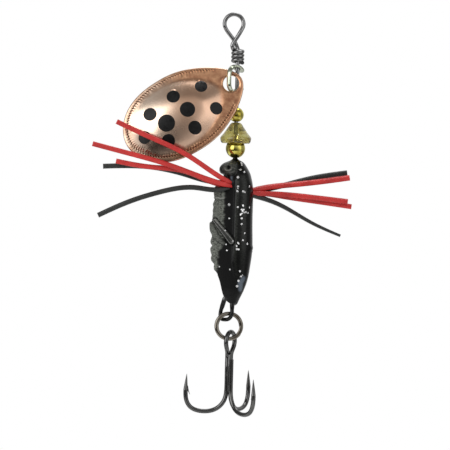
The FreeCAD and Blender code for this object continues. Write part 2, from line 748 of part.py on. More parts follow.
shaft = make_shaft_wire()
make_clevis()
make_blade()
make_round_bead("upper_bead", "upper_bead_diameter", upper_bead_centre)
make_bell_bead()
make_round_bead("lower_bead", "lower_bead_diameter", lower_bead_centre)
make_insect_body(shaft)
for place, (leg_name, (near_points, far_points)) in enumerate(LEGS.items()):
    make_leg(leg_name, place, near_points, far_points)
make_split_ring()
make_double_hook()
make_single_hook()
doc.recompute()

failed = [item.Label for item in doc.Objects if {"Invalid", "Error"} & set(item.State)]
if failed:
    raise RuntimeError(f"these objects failed to build: {failed}")
for part in parts:
    if part.Shape.isNull() or not part.Shape.isValid():
        raise RuntimeError(f"{part.Label} has no valid shape")
os.makedirs("parts", exist_ok=True)
for part in parts:
    part.Shape.exportStep(f"parts/{part.Label}.step")
    print(f"{part.Label}: {len(part.Shape.Solids)} solid(s), {part.Shape.Volume:.3f} mm3")
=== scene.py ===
"""An inline spinner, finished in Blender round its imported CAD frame.

Everything is in the frame's own place: Z runs up the shaft and the front faces -Y.
Sizes below are in millimetres and are turned into metres when a mesh is made.
"""
import functools
import math
import random

import bpy
import numpy as np
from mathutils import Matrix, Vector
from mathutils.geometry import delaunay_2d_cdt


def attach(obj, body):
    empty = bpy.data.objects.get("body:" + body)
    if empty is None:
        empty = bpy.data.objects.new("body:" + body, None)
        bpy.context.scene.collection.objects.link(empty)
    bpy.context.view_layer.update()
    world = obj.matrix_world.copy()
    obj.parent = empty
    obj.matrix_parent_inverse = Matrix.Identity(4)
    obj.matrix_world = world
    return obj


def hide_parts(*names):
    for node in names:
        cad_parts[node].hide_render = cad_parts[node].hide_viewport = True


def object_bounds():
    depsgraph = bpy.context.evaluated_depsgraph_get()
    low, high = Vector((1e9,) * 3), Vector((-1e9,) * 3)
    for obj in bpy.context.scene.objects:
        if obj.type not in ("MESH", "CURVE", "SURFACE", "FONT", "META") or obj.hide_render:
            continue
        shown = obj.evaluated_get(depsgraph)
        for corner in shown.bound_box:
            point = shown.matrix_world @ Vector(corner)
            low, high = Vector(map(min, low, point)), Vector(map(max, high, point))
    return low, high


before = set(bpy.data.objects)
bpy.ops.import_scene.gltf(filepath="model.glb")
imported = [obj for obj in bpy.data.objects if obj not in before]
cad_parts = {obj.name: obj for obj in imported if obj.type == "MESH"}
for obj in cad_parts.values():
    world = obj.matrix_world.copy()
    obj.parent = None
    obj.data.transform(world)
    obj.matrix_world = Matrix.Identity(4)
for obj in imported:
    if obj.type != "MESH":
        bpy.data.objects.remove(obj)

MM = 0.001
CAD_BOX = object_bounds()


# ---------------------------------------------------------------- vectors and curves

def vec(*numbers):
    return np.array(numbers, float)


UP = vec(0, 0, 1)


def unit(vector):
    return np.asarray(vector, float) / np.linalg.norm(vector)


def heading(degrees):
    """A level direction, counted from +X towards +Y."""
    angle = math.radians(degrees)
    return vec(math.cos(angle), math.sin(angle), 0.0)


def smooth_step(low, high, value):
    """0 below low, 1 above high, and a smooth rise between them."""
    share = np.clip((np.asarray(value, float) - low) / (high - low), 0, 1)
    return share * share * (3 - 2 * share)


def bell(value, centre, width):
    """A smooth bump, 1 at the centre and near 0 two widths away."""
    return np.exp(-((np.asarray(value, float) - centre) / width) ** 2)


def arc_lengths(points):
    """How far along a line each of its points is."""
    steps = np.linalg.norm(np.diff(points, axis=0), axis=1)
    return np.concatenate([[0.0], np.cumsum(steps)])


def arc(centre, across, down, angles):
    """Points on an arc through centre + across and centre + down, at angles in degrees."""
    return [centre + math.cos(angle) * across + math.sin(angle) * down
            for angle in np.radians(angles)]


def spline_bends(knots, values, closed):
    """Second derivatives of the cubic spline through values at knots."""
    count = len(knots)
    gaps = np.diff(knots)
    matrix = np.zeros((count, count))
    right = np.zeros((count, values.shape[1]))
    for k in range(1, count - 1):
        matrix[k, k - 1:k + 2] = gaps[k - 1], 2 * (gaps[k - 1] + gaps[k]), gaps[k]
        right[k] = 6 * ((values[k + 1] - values[k]) / gaps[k]
                        - (values[k] - values[k - 1]) / gaps[k - 1])
    if closed:
        matrix[0, [0, 1, -2]] = 2 * (gaps[0] + gaps[-1]), gaps[0], gaps[-1]
        right[0] = 6 * ((values[1] - values[0]) / gaps[0]
                        - (values[-1] - values[-2]) / gaps[-1])
        matrix[-1, [0, -1]] = 1, -1
    else:
        matrix[0, 0] = matrix[-1, -1] = 1
    return np.linalg.solve(matrix, right)


def spline(points, count, closed=False):
    """Evenly spaced points on a smooth curve through the given ones."""
    points = np.asarray(points, float)
    if closed:
        points = np.vstack([points, points[:1]])
    knots = arc_lengths(points)
    bends = spline_bends(knots, points, closed)
    fine = np.linspace(0, knots[-1], 40 * len(points))
    span = np.clip(np.searchsorted(knots, fine, side="right") - 1, 0, len(knots) - 2)
    gap = (knots[span + 1] - knots[span])[:, None]
    ahead = (fine - knots[span])[:, None]
    behind = gap - ahead
    curve = ((bends[span] * behind ** 3 + bends[span + 1] * ahead ** 3) / (6 * gap)
             + (points[span] / gap - bends[span] * gap / 6) * behind
             + (points[span + 1] / gap - bends[span + 1] * gap / 6) * ahead)
    return resampled(curve, count, closed)


def resampled(curve, count, closed=False):
    """The same line with evenly spaced points."""
    lengths = arc_lengths(curve)
    places = np.linspace(0, lengths[-1], count + 1 if closed else count)
    points = np.column_stack([np.interp(places, lengths, curve[:, k])
                              for k in range(curve.shape[1])])
    return points[:-1] if closed else points


# ---------------------------------------------------------------- meshes

EDGE_STEPS = 6                 # flat steps in the half turn of a sheet's round edge


def grid_faces(rows, columns, closed_rows=False):
    """Quads of a grid whose columns close into rings."""
    faces = []
    for row in range(rows if closed_rows else rows - 1):
        following = (row + 1) % rows
        for column in range(columns):
            beside = (column + 1) % columns
            faces.append((row * columns + column, row * columns + beside,
                          following * columns + beside, following * columns + column))
    return faces


def added(name, data):
    """A new object in the scene."""
    made = bpy.data.objects.new(name, data)
    bpy.context.scene.collection.objects.link(made)
    return made


class Shape:
    """Points in millimetres, faces and the material number of each face."""

    def __init__(self):
        self.points = []
        self.faces = []
        self.paints = []

    def add(self, points, faces, paints=None):
        start = len(self.points)
        self.points.extend(map(tuple, np.asarray(points, float)))
        self.faces.extend(tuple(corner + start for corner in face) for face in faces)
        self.paints.extend([0] * len(faces) if paints is None else paints)

    def join(self, first, second):
        """Quads between two rings of points, given by their numbers."""
        for k in range(len(first)):
            after = (k + 1) % len(first)
            self.faces.append((first[k], second[k], second[after], first[after]))
            self.paints.append(0)

    def round_edge(self, front, back, ring_at):
        """A round edge from the front ring to the back one, through a new ring at each angle."""
        previous = front
        for step in range(1, EDGE_STEPS):
            first = len(self.points)
            self.add(ring_at(math.pi * step / EDGE_STEPS), [])
            current = list(range(first, first + len(front)))
            self.join(previous, current)
            previous = current
        self.join(previous, back)

    def piece(self, name, body, materials, replaces=(), sharp=40):
        """The Blender object: it rides on a body and stands for CAD nodes."""
        mesh = bpy.data.meshes.new(name)
        mesh.from_pydata([tuple(MM * c for c in point) for point in self.points], [], self.faces)
        mesh.polygons.foreach_set("material_index", self.paints)
        made = added(name, mesh)
        for material in materials:
            mesh.materials.append(material)
        mesh.validate()
        mesh.shade_smooth()
        mesh.set_sharp_from_angle(angle=math.radians(sharp))
        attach(made, body)
        if replaces:
            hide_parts(*replaces)
        return made


def set_attribute(made, name, values):
    """A number at each point of a mesh, for its material to read."""
    attribute = made.data.attributes.new(name, "FLOAT", "POINT")
    attribute.data.foreach_set("value", np.clip(values, 0, 1).astype(np.float32).ravel())


def path_frames(path):
    """Two directions across a path at each point, that turn as little as they can."""
    ahead = np.gradient(path, axis=0)
    ahead /= np.linalg.norm(ahead, axis=1)[:, None]
    side = unit(np.cross(ahead[0], UP if abs(ahead[0] @ UP) < 0.9 else vec(1, 0, 0)))
    sides = [side]
    for after in ahead[1:]:
        side = unit(side - after * (side @ after))
        sides.append(side)
    sides = np.array(sides)
    return sides, np.cross(ahead, sides)


def swept(shape, path, section, scales=1.0, frames=None):
    """A closed section (points across the path) carried along a path, with flat ends."""
    sides, ups = frames or path_frames(path)
    scales = np.broadcast_to(scales, len(path))
    rings = (path[:, None, :]
             + scales[:, None, None] * (section[None, :, :1] * sides[:, None, :]
                                        + section[None, :, 1:] * ups[:, None, :]))
    count = len(section)
    points = rings.reshape(-1, 3)
    faces = grid_faces(len(path), count)
    faces.append(tuple(reversed(range(count))))
    faces.append(tuple(range(len(points) - count, len(points))))
    shape.add(points, faces)


def circle(radius, count):
    """Flat points, anticlockwise."""
    angles = np.arange(count) * 2 * math.pi / count
    return np.column_stack([radius * np.cos(angles), radius * np.sin(angles)])


def rounded_box(width, height, edge, steps=4):
    """A rectangle with round corners, as a section."""
    corners = []
    for quarter, (x_side, y_side) in enumerate([(1, 1), (-1, 1), (-1, -1), (1, -1)]):
        centre = vec(x_side * (width / 2 - edge), y_side * (height / 2 - edge))
        for step in range(steps + 1):
            angle = math.pi / 2 * (quarter + step / steps)
            corners.append(centre + edge * vec(math.cos(angle), math.sin(angle)))
    return np.array(corners)


def lathe(shape, profile, count):
    """A closed profile (radius, height) turned round the shaft's axis."""
    angles = np.arange(count) * 2 * math.pi / count
    points = [(radius * math.cos(angle), radius * math.sin(angle), height)
              for radius, height in profile for angle in angles]
    shape.add(points, grid_faces(len(profile), count, closed_rows=True))


# ---------------------------------------------------------------- flat sheets

def drawn_in(ring, inset):
    """A closed anticlockwise outline moved inwards."""
    ahead = np.roll(ring, -1, axis=0) - np.roll(ring, 1, axis=0)
    inward = np.column_stack([-ahead[:, 1], ahead[:, 0]])
    inward /= np.linalg.norm(inward, axis=1)[:, None]
    return ring + inset * inward


def off_outline(outline, x, y):
    """Distance from a point to the nearest point of an outline."""
    return np.min(np.hypot(outline[:, 0] - x, outline[:, 1] - y))


def inside_ring(ring, x, y):
    """Whether a point is inside a closed outline."""
    after = np.roll(ring, -1, axis=0)
    crosses = (ring[:, 1] > y) != (after[:, 1] > y)
    rise = np.where(crosses, after[:, 1] - ring[:, 1], 1)
    meet = ring[:, 0] + (y - ring[:, 1]) / rise * (after[:, 0] - ring[:, 0])
    return bool(np.count_nonzero(crosses & (x < meet)) % 2)


def flat_mesh(rings, loose, in_hole):
    """Triangles that fill the first ring round all the points, and leave the holes open.

    in_hole says which of an array of points are in a hole. Gives the points, the triangles,
    each point's number among those given (-1 for a new one) and the points of each ring.
    """
    points, edges, spans = [], [], []
    for ring in rings:
        span = range(len(points), len(points) + len(ring))
        spans.append(span)
        points.extend(ring.tolist())
        edges += zip(span, [*span[1:], span[0]])
    points.extend(loose.tolist())
    corners, _, faces, kept, _, _ = delaunay_2d_cdt(
        [Vector(point) for point in points], edges, [], 1, 1e-5)
    corners = np.array([tuple(corner) for corner in corners])
    faces = np.array([tuple(face) for face in faces])
    faces = faces[~in_hole(corners[faces].mean(axis=1))]
    origin = np.array([names[0] if names else -1 for names in kept])
    place = {int(number): k for k, number in enumerate(origin)}
    return corners, faces, origin, [[place[number] for number in span] for span in spans]


# ---------------------------------------------------------------- materials

class Tree:
    """Short words for building a node tree."""

    def __init__(self, tree):
        self.tree = tree

    def node(self, kind, sockets=None, **settings):
        """A new node, with values or links for its input sockets by name or number."""
        made = self.tree.nodes.new("ShaderNode" + kind)
        for name, value in settings.items():
            setattr(made, name, value)
        for socket, value in (sockets or {}).items():
            self.put(made.inputs[socket], value)
        return made

    def put(self, socket, value):
        if is_socket(value):
            self.tree.links.new(value, socket)
        else:
            socket.default_value = value

    def math(self, operation, *values):
        return self.node("Math", dict(enumerate(values)), operation=operation).outputs[0]

    def ramp(self, value, stops):
        """Colours or greys at places from 0 to 1."""
        made = self.node("ValToRGB", {"Fac": value})
        elements = made.color_ramp.elements
        while len(elements) < len(stops):
            elements.new(0.5)
        for element, (place, colour) in zip(elements, stops):
            element.position = place
            element.color = rgba(colour)
        return made.outputs["Color"]

    def ranged(self, value, start, end, low=0.0, high=1.0, **settings):
        """A value that goes from low to high as another goes from start to end."""
        return self.node("MapRange", {"Value": value, "From Min": start, "From Max": end,
                                      "To Min": low, "To Max": high}, **settings).outputs[0]

    def mix(self, share, first, second):
        """A colour between two others."""
        first, second = [value if is_socket(value) else rgba(value) for value in (first, second)]
        return self.node("Mix", {0: share, 6: first, 7: second}, data_type="RGBA").outputs[2]

    def blend(self, share, first, second):
        """A plain value between two others, such as a roughness."""
        return self.node("Mix", {0: share, 2: first, 3: second}, data_type="FLOAT").outputs[0]

    def either(self, share, first, second):
        """One shader or the other."""
        return self.node("MixShader", {0: share, 1: first, 2: second}).outputs[0]

    def light(self, kind, strength, colour=(1, 1, 1, 1)):
        """A shader that gives light by itself: Background or Emission."""
        return self.node(kind, {"Color": colour, "Strength": strength}).outputs[0]


class Nodes(Tree):
    """A material's node tree; sizes and depths are in millimetres."""

    def __init__(self, name):
        self.material = bpy.data.materials.new(name)
        self.material.use_nodes = True
        super().__init__(self.material.node_tree)
        self.shader = self.tree.nodes["Principled BSDF"]
        self.place = self.node("TexCoord").outputs["Object"]

    def set(self, **sockets):
        for name, value in sockets.items():
            self.put(self.shader.inputs[name.replace("_", " ")], value)

    def attributes(self, *names):
        """The numbers that set_attribute wrote on the mesh."""
        return [self.node("Attribute", attribute_name=name).outputs["Fac"] for name in names]

    def level(self, start, end):
        """0 above one level and 1 below another, counted down the shaft."""
        height = self.node("SeparateXYZ", {0: self.place}).outputs["Z"]
        return self.ranged(height, -start * MM, -end * MM)

    def noise(self, size, detail=2.0, stretch=(1, 1, 1)):
        """Soft blotches of about that size."""
        scale = [1 / (MM * size * s) for s in stretch]
        mapping = self.node("Mapping", {"Vector": self.place, "Scale": scale})
        return self.node("TexNoise", {"Vector": mapping.outputs[0], "Scale": 1,
                                      "Detail": detail}).outputs["Fac"]

    def spread(self, pattern, low, high):
        """A value from low to high, as the pattern goes from dark to light."""
        return self.ranged(pattern, 0.3, 0.7, low, high)

    def tint(self, pattern, dark, light, margin=0.3):
        """A colour from dark to light, as the pattern does."""
        return self.ramp(pattern, [(margin, dark), (1 - margin, light)])

    def bump(self, *layers):
        """Bumps from (pattern, depth), one on top of the other."""
        under = {}
        for pattern, depth in layers:
            made = self.node("Bump", {"Distance": depth * MM, "Height": pattern, **under})
            under = {"Normal": made.outputs["Normal"]}
        self.set(**under)


def is_socket(value):
    return hasattr(value, "is_linked")


def linear(level):
    """An sRGB level from 0 to 255 as a linear value."""
    share = level / 255
    return share / 12.92 if share <= 0.04045 else ((share + 0.055) / 1.055) ** 2.4


def rgba(colour):
    """A colour given as sRGB levels, or one grey level."""
    if not hasattr(colour, "__len__"):
        colour = (colour,) * 3
    return (*[linear(level) for level in colour[:3]], 1.0)


# Light and dark colour, roughness, size of the blotches, detail, depth of the grain.
METALS = {
    "steel_wire": (150, 116, (0.16, 0.2), 2.5, 1, 0),
    "nickel": ((196, 202, 184), (150, 156, 138), (0.12, 0.18), 1.5, 4, 0),
    "ring_steel": ((134, 128, 118), (80, 74, 66), (0.14, 0.18), 1.5, 1, 0),
    "black_nickel": ((100, 100, 98), (80, 80, 80), (0.12, 0.16), 3.0, 1, 0),
    "gold_bead": ((222, 212, 112), (150, 134, 50), (0.1, 0.2), 0.9, 4, 0.004),
}


def metal(name):
    """Bare or plated metal with faint blotches, and with fine pits where it has a grain."""
    light, dark, rough, size, detail, grain = METALS[name]
    nodes = Nodes(name)
    fine = nodes.noise(0.12, 3) if grain else nodes.noise(1.0, 1)
    nodes.set(Base_Color=nodes.tint(nodes.noise(size, detail), dark, light),
              Metallic=1.0, Roughness=nodes.spread(fine, *rough))
    if grain:
        nodes.bump((fine, grain))
    return nodes


def steel_wire():
    """Grey spring steel, lacquered black at its foot with the body above it."""
    nodes = metal("steel_wire")
    lacquer = nodes.level(*LACQUER_LEVELS)
    bare = nodes.shader.inputs["Base Color"].links[0].from_socket
    nodes.set(Base_Color=nodes.mix(lacquer, bare, 8), Specular_IOR_Level=0.3,
              Metallic=nodes.math("SUBTRACT", 1.0, lacquer))
    return nodes.material


def rubber(name, light, dark):
    """Matt rubber with a little dust and faint ripples from cutting."""
    nodes = Nodes(name)
    ripple = nodes.noise(0.5, 3)
    nodes.set(Base_Color=nodes.tint(nodes.noise(3.0, 4), dark, light),
              Roughness=nodes.spread(ripple, 0.42, 0.6))
    nodes.bump((ripple, 0.03), (nodes.noise(0.12, 2), 0.006))
    return nodes.material


def olive_glass():
    """Clear olive plastic, a little cloudy, and darker round its rim."""
    nodes = Nodes("olive_bell")
    cloud = nodes.noise(1.6, 3)
    pale = nodes.tint(cloud, (164, 152, 80), (212, 210, 140), 0.35)
    deep = nodes.tint(cloud, (112, 88, 32), (186, 176, 96), 0.35)
    nodes.set(Base_Color=nodes.mix(nodes.level(*BELL_DARKENS), pale, deep),
              Roughness=nodes.spread(cloud, 0.04, 0.12), Transmission_Weight=0.85, IOR=1.5)
    nodes.bump((nodes.noise(0.8, 2), 0.01))
    return nodes.material


def copper():
    """Polished copper under clear lacquer, dark in its stitches, painted paler towards its far
    end as a painted highlight and darker towards its hole as painted shade, with a painted dark
    reflection low in the dish.
    """
    nodes = Nodes("copper")
    stain = nodes.noise(7.0, 5)
    rim, stamp, shade, painted_light_falloff = nodes.attributes("rim", "stamp", "shade", "painted_light_falloff")
    # Painted highlight and shade: dome and rim are paler towards the far end and darker towards
    # the hole.
    dome = nodes.mix(painted_light_falloff, nodes.tint(stain, (244, 216, 192), (254, 234, 214)),
                     nodes.tint(stain, (200, 162, 136), (218, 184, 160)))
    flat = nodes.mix(painted_light_falloff, nodes.tint(nodes.noise(1.2, 4), (196, 156, 128), (238, 208, 184)),
                     nodes.tint(nodes.noise(1.0, 4), (168, 116, 88), (214, 164, 126)))
    # The shade mask paints the lower dish dark: a painted reflection of the legs and painted
    # shade.
    bare = nodes.mix(shade, nodes.mix(rim, dome, flat), (70, 50, 42))
    nodes.set(Base_Color=nodes.mix(stamp, bare, (78, 52, 36)), Metallic=1.0,
              Roughness=nodes.blend(rim, nodes.spread(stain, 0.22, 0.3), 0.26))
    nodes.bump((nodes.noise(0.15, 3), 0.003))
    return nodes.material


def dot_paint():
    """Black enamel dots, a little uneven where the paint pooled."""
    nodes = Nodes("dot_paint")
    pool = nodes.noise(0.7, 3)
    nodes.set(Base_Color=nodes.tint(pool, 10, 20), Roughness=nodes.spread(pool, 0.25, 0.4),
              Specular_IOR_Level=0.2)
    nodes.bump((pool, 0.01))
    return nodes.material


def enamel():
    """Black enamel over the casting.

    It is matt grey on the belly with a painted sheen there, has painted highlights on the cheek,
    the rib and the thigh, and painted glints along its lips and a bluish painted reflection on
    two small facets.
    """
    nodes = Nodes("black_enamel")
    grey_and_sheen, hollow, edge, facet_reflection = nodes.attributes("grey_and_sheen", "hollow", "edge", "facet_reflection")
    blotch = nodes.noise(1.4, 4)
    streak = nodes.noise(0.5, 3, stretch=(1, 1, 0.22))
    # This grey is the belly's matt finish with a painted sheen on it, and painted highlights on
    # the cheek, the wing case's rib and the thigh.
    grey_sheen = nodes.tint(streak, (34, 36, 33), (122, 125, 117), 0.34)
    # Painted shade: hollows are near-black and matt.
    paint = nodes.mix(hollow, nodes.mix(grey_and_sheen, nodes.tint(blotch, 3, 8), grey_sheen), 2)
    # Painted glints: near-white along the shin's lips, under the eye, on the jaw and on the
    # seam.
    paint = nodes.mix(edge, paint, (205, 205, 200))
    rough = nodes.blend(grey_and_sheen, nodes.spread(blotch, 0.16, 0.26), nodes.spread(streak, 0.38, 0.55))
    # Painted reflection: bluish grey on two small facets.
    nodes.set(Base_Color=nodes.mix(facet_reflection, paint, (112, 122, 134)), Specular_IOR_Level=0.18,
              Roughness=nodes.blend(hollow, rough, 0.85))
    nodes.bump((nodes.math("MULTIPLY", grey_and_sheen, streak), 0.05))
    return nodes.material


def glitter():
    """Small flakes of silver film."""
    nodes = Nodes("glitter")
    nodes.set(Base_Color=nodes.tint(nodes.noise(0.6, 2), 150, 252, 0.35),
              Metallic=0.2, Roughness=0.3)
    return nodes.material


# ---------------------------------------------------------------- levels down the shaft

CLEVIS_MIDDLE = 10.6
UPPER_BEAD_CENTRE = 17.65
BELL_DARKENS = (21.4, 22.4)    # the bell's plastic is pale above and deep below
BELL_RIM = 23.4
LOWER_BEAD_CENTRE = 24.4
LACQUER_LEVELS = (54.0, 55.0)  # the wire is bare above and lacquered below
RING_CENTRE = vec(-0.43, 0.0058, -59.97)
BORE = 0.475                   # radius of the beads' bores


# ---------------------------------------------------------------- blade

BLADE_LENGTH = 26.7
BLADE_WIDTH = 16.4
BLADE_THICKNESS = 0.5
BLADE_EDGE = 0.22
BLADE_HOLE = 1.6               # radius of its hole
OUTLINE_COUNT = 720
HOLE_COUNT = 72
DOT_COUNT = 64
HOLE_INSET = 2.42
HOLE_CENTRE = vec(-1.1985, -1.7970, -11.525)
BLADE_DROOP = math.radians(33.1)
BLADE_LEAN = math.radians(10.0)
BLADE_FACE = vec(0, -math.cos(BLADE_LEAN), math.sin(BLADE_LEAN))
BLADE_DOWN = vec(0, -math.sin(BLADE_LEAN), -math.cos(BLADE_LEAN))
BLADE_ALONG = vec(-1, 0, 0) * math.cos(BLADE_DROOP) + BLADE_DOWN * math.sin(BLADE_DROOP)
BLADE_ACROSS = np.cross(BLADE_FACE, BLADE_ALONG)
HALF_OUTLINE = [(0.035, 0.27), (0.12, 0.53), (0.25, 0.78), (0.40, 0.955), (0.56, 1.0),
                (0.71, 0.95), (0.84, 0.79), (0.945, 0.49)]
DISH_DEPTH = 2.3
DISH_RIM = 1.45
DISH_NOSE = 4.1
DISH_POWER = 2.2
DISH_SOFT = 0.4                # how far the dish's creases are eased
DISH_GRID = 0.1
HALVINGS = 24                  # of the share between the rim's outline and the dish's middle
NOSE_EASE = 7.0                # how far the dish takes to reach its full depth from the nose
RIM_FALL = 0.14                # how far the flat rim bends back at its edge
PAINTED_LIGHT_FALLOFF = (-18.5, -10.0)    # painted highlight at the far end falling to painted shade towards the hole, between these places across
# Level below which the dish is painted dark, at places across: a painted reflection of the dark
# legs and painted shade.
DISH_SHADE = [(-22.6, -20.2), (-17.0, -21.6), (-10.7, -24.6), (-8.5, -25.6)]
STITCH_INSET = 0.84
STITCH_SWAY = 0.2              # how much further in the stitches run on the lower side
STITCH_WIDTH = 0.38
STITCH_PITCH = 0.6
STITCH_DEPTH = 0.13
STITCH_SLANT = 0.7
STITCH_ROWS = 7
STITCH_SAMPLES = 8
STITCH_CLEAR = 0.7             # how near the hole the stitches come
FACE_STEP = 0.4                # spacing of the face's loose points
# Painted dots: along from the hole, across, radius.
DOTS = [(5.5, -2.5, 1.25), (5.25, 2.85, 1.25), (11.4, -3.5, 1.33), (11.0, 4.1, 1.33),
        (17.2, -2.9, 1.33), (16.9, 3.6, 1.33), (10.4, 0.3, 1.53), (15.4, 0.45, 1.71),
        (20.5, 0.5, 1.25)]
DOT_PAINT = 0.03
DOT_WALL = 0.01


def blade_outline(count=OUTLINE_COUNT):
    """The blade's outline from its narrow end, anticlockwise, with the hole's centre at 0."""
    half = [(along * BLADE_LENGTH, -across * BLADE_WIDTH / 2) for along, across in HALF_OUTLINE]
    other = [(x, -y) for x, y in reversed(half)]
    ring = spline([(0, 0), *half, (BLADE_LENGTH, 0), *other], count, closed=True)
    return ring - vec(HOLE_INSET, 0)


def half_width(along):
    """Half the blade's width at a distance from its narrow end."""
    ring = blade_outline(600) + vec(HOLE_INSET, 0)
    side = ring[ring[:, 1] <= 0]
    side = side[np.argsort(side[:, 0])]
    return np.interp(along, side[:, 0], -side[:, 1])


def sharp_dish(points):
    """Height of the dish over the flat rim, from nested outlines."""
    low = np.zeros(len(points))
    high = np.ones(len(points))
    for _ in range(HALVINGS):
        share = (low + high) / 2
        nose = DISH_NOSE + share * (BLADE_LENGTH / 2 - DISH_NOSE)
        inset = DISH_RIM + share * (BLADE_WIDTH / 2 - DISH_RIM)
        far = DISH_RIM + share * (BLADE_LENGTH / 2 - DISH_RIM)
        along = (points[:, 0] + HOLE_INSET - nose) / np.maximum(
            1 - (nose + far) / BLADE_LENGTH, 1e-6)
        across = np.abs(points[:, 1]) / np.maximum(1 - 2 * inset / BLADE_WIDTH, 1e-6)
        inside = (along > 0) & (along < BLADE_LENGTH) & (across < half_width(along))
        low = np.where(inside, share, low)
        high = np.where(inside, high, share)
    return DISH_DEPTH * (1 - (1 - low) ** DISH_POWER)


@functools.cache
def dish_grid():
    """The dish on a fine grid, with its creases eased, and the grid's own places."""
    along = np.arange(-HOLE_INSET - 2, BLADE_LENGTH - HOLE_INSET + 2, DISH_GRID)
    across = np.arange(-BLADE_WIDTH / 2 - 2, BLADE_WIDTH / 2 + 2, DISH_GRID)
    places = np.stack(np.meshgrid(along, across, indexing="ij"), axis=-1)
    height = sharp_dish(places.reshape(-1, 2)).reshape(len(along), len(across))
    reach = np.arange(-3 * DISH_SOFT, 3 * DISH_SOFT + DISH_GRID / 2, DISH_GRID)
    weights = np.exp(-(reach / DISH_SOFT) ** 2 / 2)
    weights /= weights.sum()
    for axis in (0, 1):
        height = np.apply_along_axis(np.convolve, axis, height, weights, "same")
    start = DISH_NOSE - HOLE_INSET - 1
    height *= smooth_step(start, start + NOSE_EASE, along)[:, None] ** 0.5
    return along, across, height


def dish_height(points):
    """Height of the eased dish at flat points."""
    along, across, height = dish_grid()
    column = (points[:, 0] - along[0]) / DISH_GRID
    row = (points[:, 1] - across[0]) / DISH_GRID
    i, j = column.astype(int), row.astype(int)
    u, v = column - i, row - j
    return ((height[i, j] * (1 - u) + height[i + 1, j] * u) * (1 - v)
            + (height[i, j + 1] * (1 - u) + height[i + 1, j + 1] * u) * v)


def rim_fall(points):
    """How far the rim is bent back at flat points."""
    outline = blade_outline()
    inside = np.array([off_outline(outline, x, y) for x, y in points])
    return RIM_FALL * np.clip(1 - inside / DISH_RIM, 0, 1) ** 2


def stitch_lines():
    """Rows of flat points along the stamped line, and how much of a mark is at each of them."""
    outline = blade_outline()
    perimeter = arc_lengths(np.vstack([outline, outline[:1]]))[-1]
    fine = blade_outline(round(perimeter / STITCH_PITCH) * STITCH_SAMPLES)
    inward = drawn_in(fine, 1) - fine
    inset = STITCH_INSET - STITCH_SWAY * (inward @ vec(0.7, 0.9))
    phase = np.arange(len(fine)) / STITCH_SAMPLES
    points, marks = [], []
    for row in range(STITCH_ROWS):
        across = row / (STITCH_ROWS - 1) - 0.5
        line = fine + (inset + across * STITCH_WIDTH)[:, None] * inward
        place = (phase + STITCH_SLANT * across) % 1
        mark = (1 - smooth_step(0.1, 0.34, np.abs(place - 0.5))) * (1 - (2 * across) ** 4)
        mark = mark * smooth_step(1.0, 2.5, line[:, 0])
        clear = np.hypot(line[:, 0], line[:, 1]) > BLADE_HOLE + STITCH_CLEAR
        points.append(line[clear])
        marks.append(mark[clear])
    return points, marks


def blade_points():
    """Flat points of the blade's face: rings that must be kept, loose points, stamped marks."""
    rings = [drawn_in(blade_outline(), BLADE_EDGE),
             circle(BLADE_HOLE + BLADE_EDGE / 2, HOLE_COUNT)[::-1]]
    for along, across, radius in DOTS:
        for ring_radius in (radius, radius - DOT_WALL):
            rings.append(circle(ring_radius, DOT_COUNT) + vec(along, across))
    loose, marks = stitch_lines()
    stitched = drawn_in(blade_outline(), STITCH_INSET + 0.45)[::4]
    columns = int(BLADE_WIDTH / FACE_STEP)
    grid = []
    for i in range(int(BLADE_LENGTH / FACE_STEP) + 1):
        x = i * FACE_STEP * 0.87 - HOLE_INSET
        widest = half_width(x + HOLE_INSET) - 1.3
        for j in range(-columns, columns + 1):
            y = (j + 0.5 * (i % 2)) * FACE_STEP
            # Clear of the rim, the narrow end, the hole, the stitches and the dots' edges.
            if (abs(y) < widest and x > -0.9
                    and math.hypot(x, y) > BLADE_HOLE + 0.4
                    and off_outline(stitched, x, y) > 0.2
                    and all(abs(math.hypot(x - along, y - across) - radius) > 0.14
                            for along, across, radius in DOTS)):
                grid.append((x, y))
    return rings, np.vstack([*loose, grid]), np.concatenate([*marks, np.zeros(len(grid))])


def placed_on_blade(flat, height):
    """Flat points of the blade in their place in the frame."""
    return (HOLE_CENTRE + flat[:, :1] * BLADE_ALONG + flat[:, 1:] * BLADE_ACROSS
            + np.asarray(height)[:, None] * BLADE_FACE)


def blade_edge(outline_at, angle):
    """The ring of a round edge at an angle; outline_at gives it flat, from how far it is out."""
    ring = outline_at(math.sin(angle))
    level = BLADE_THICKNESS / 2 * math.cos(angle) - rim_fall(ring)
    return placed_on_blade(ring, level + dish_height(ring))


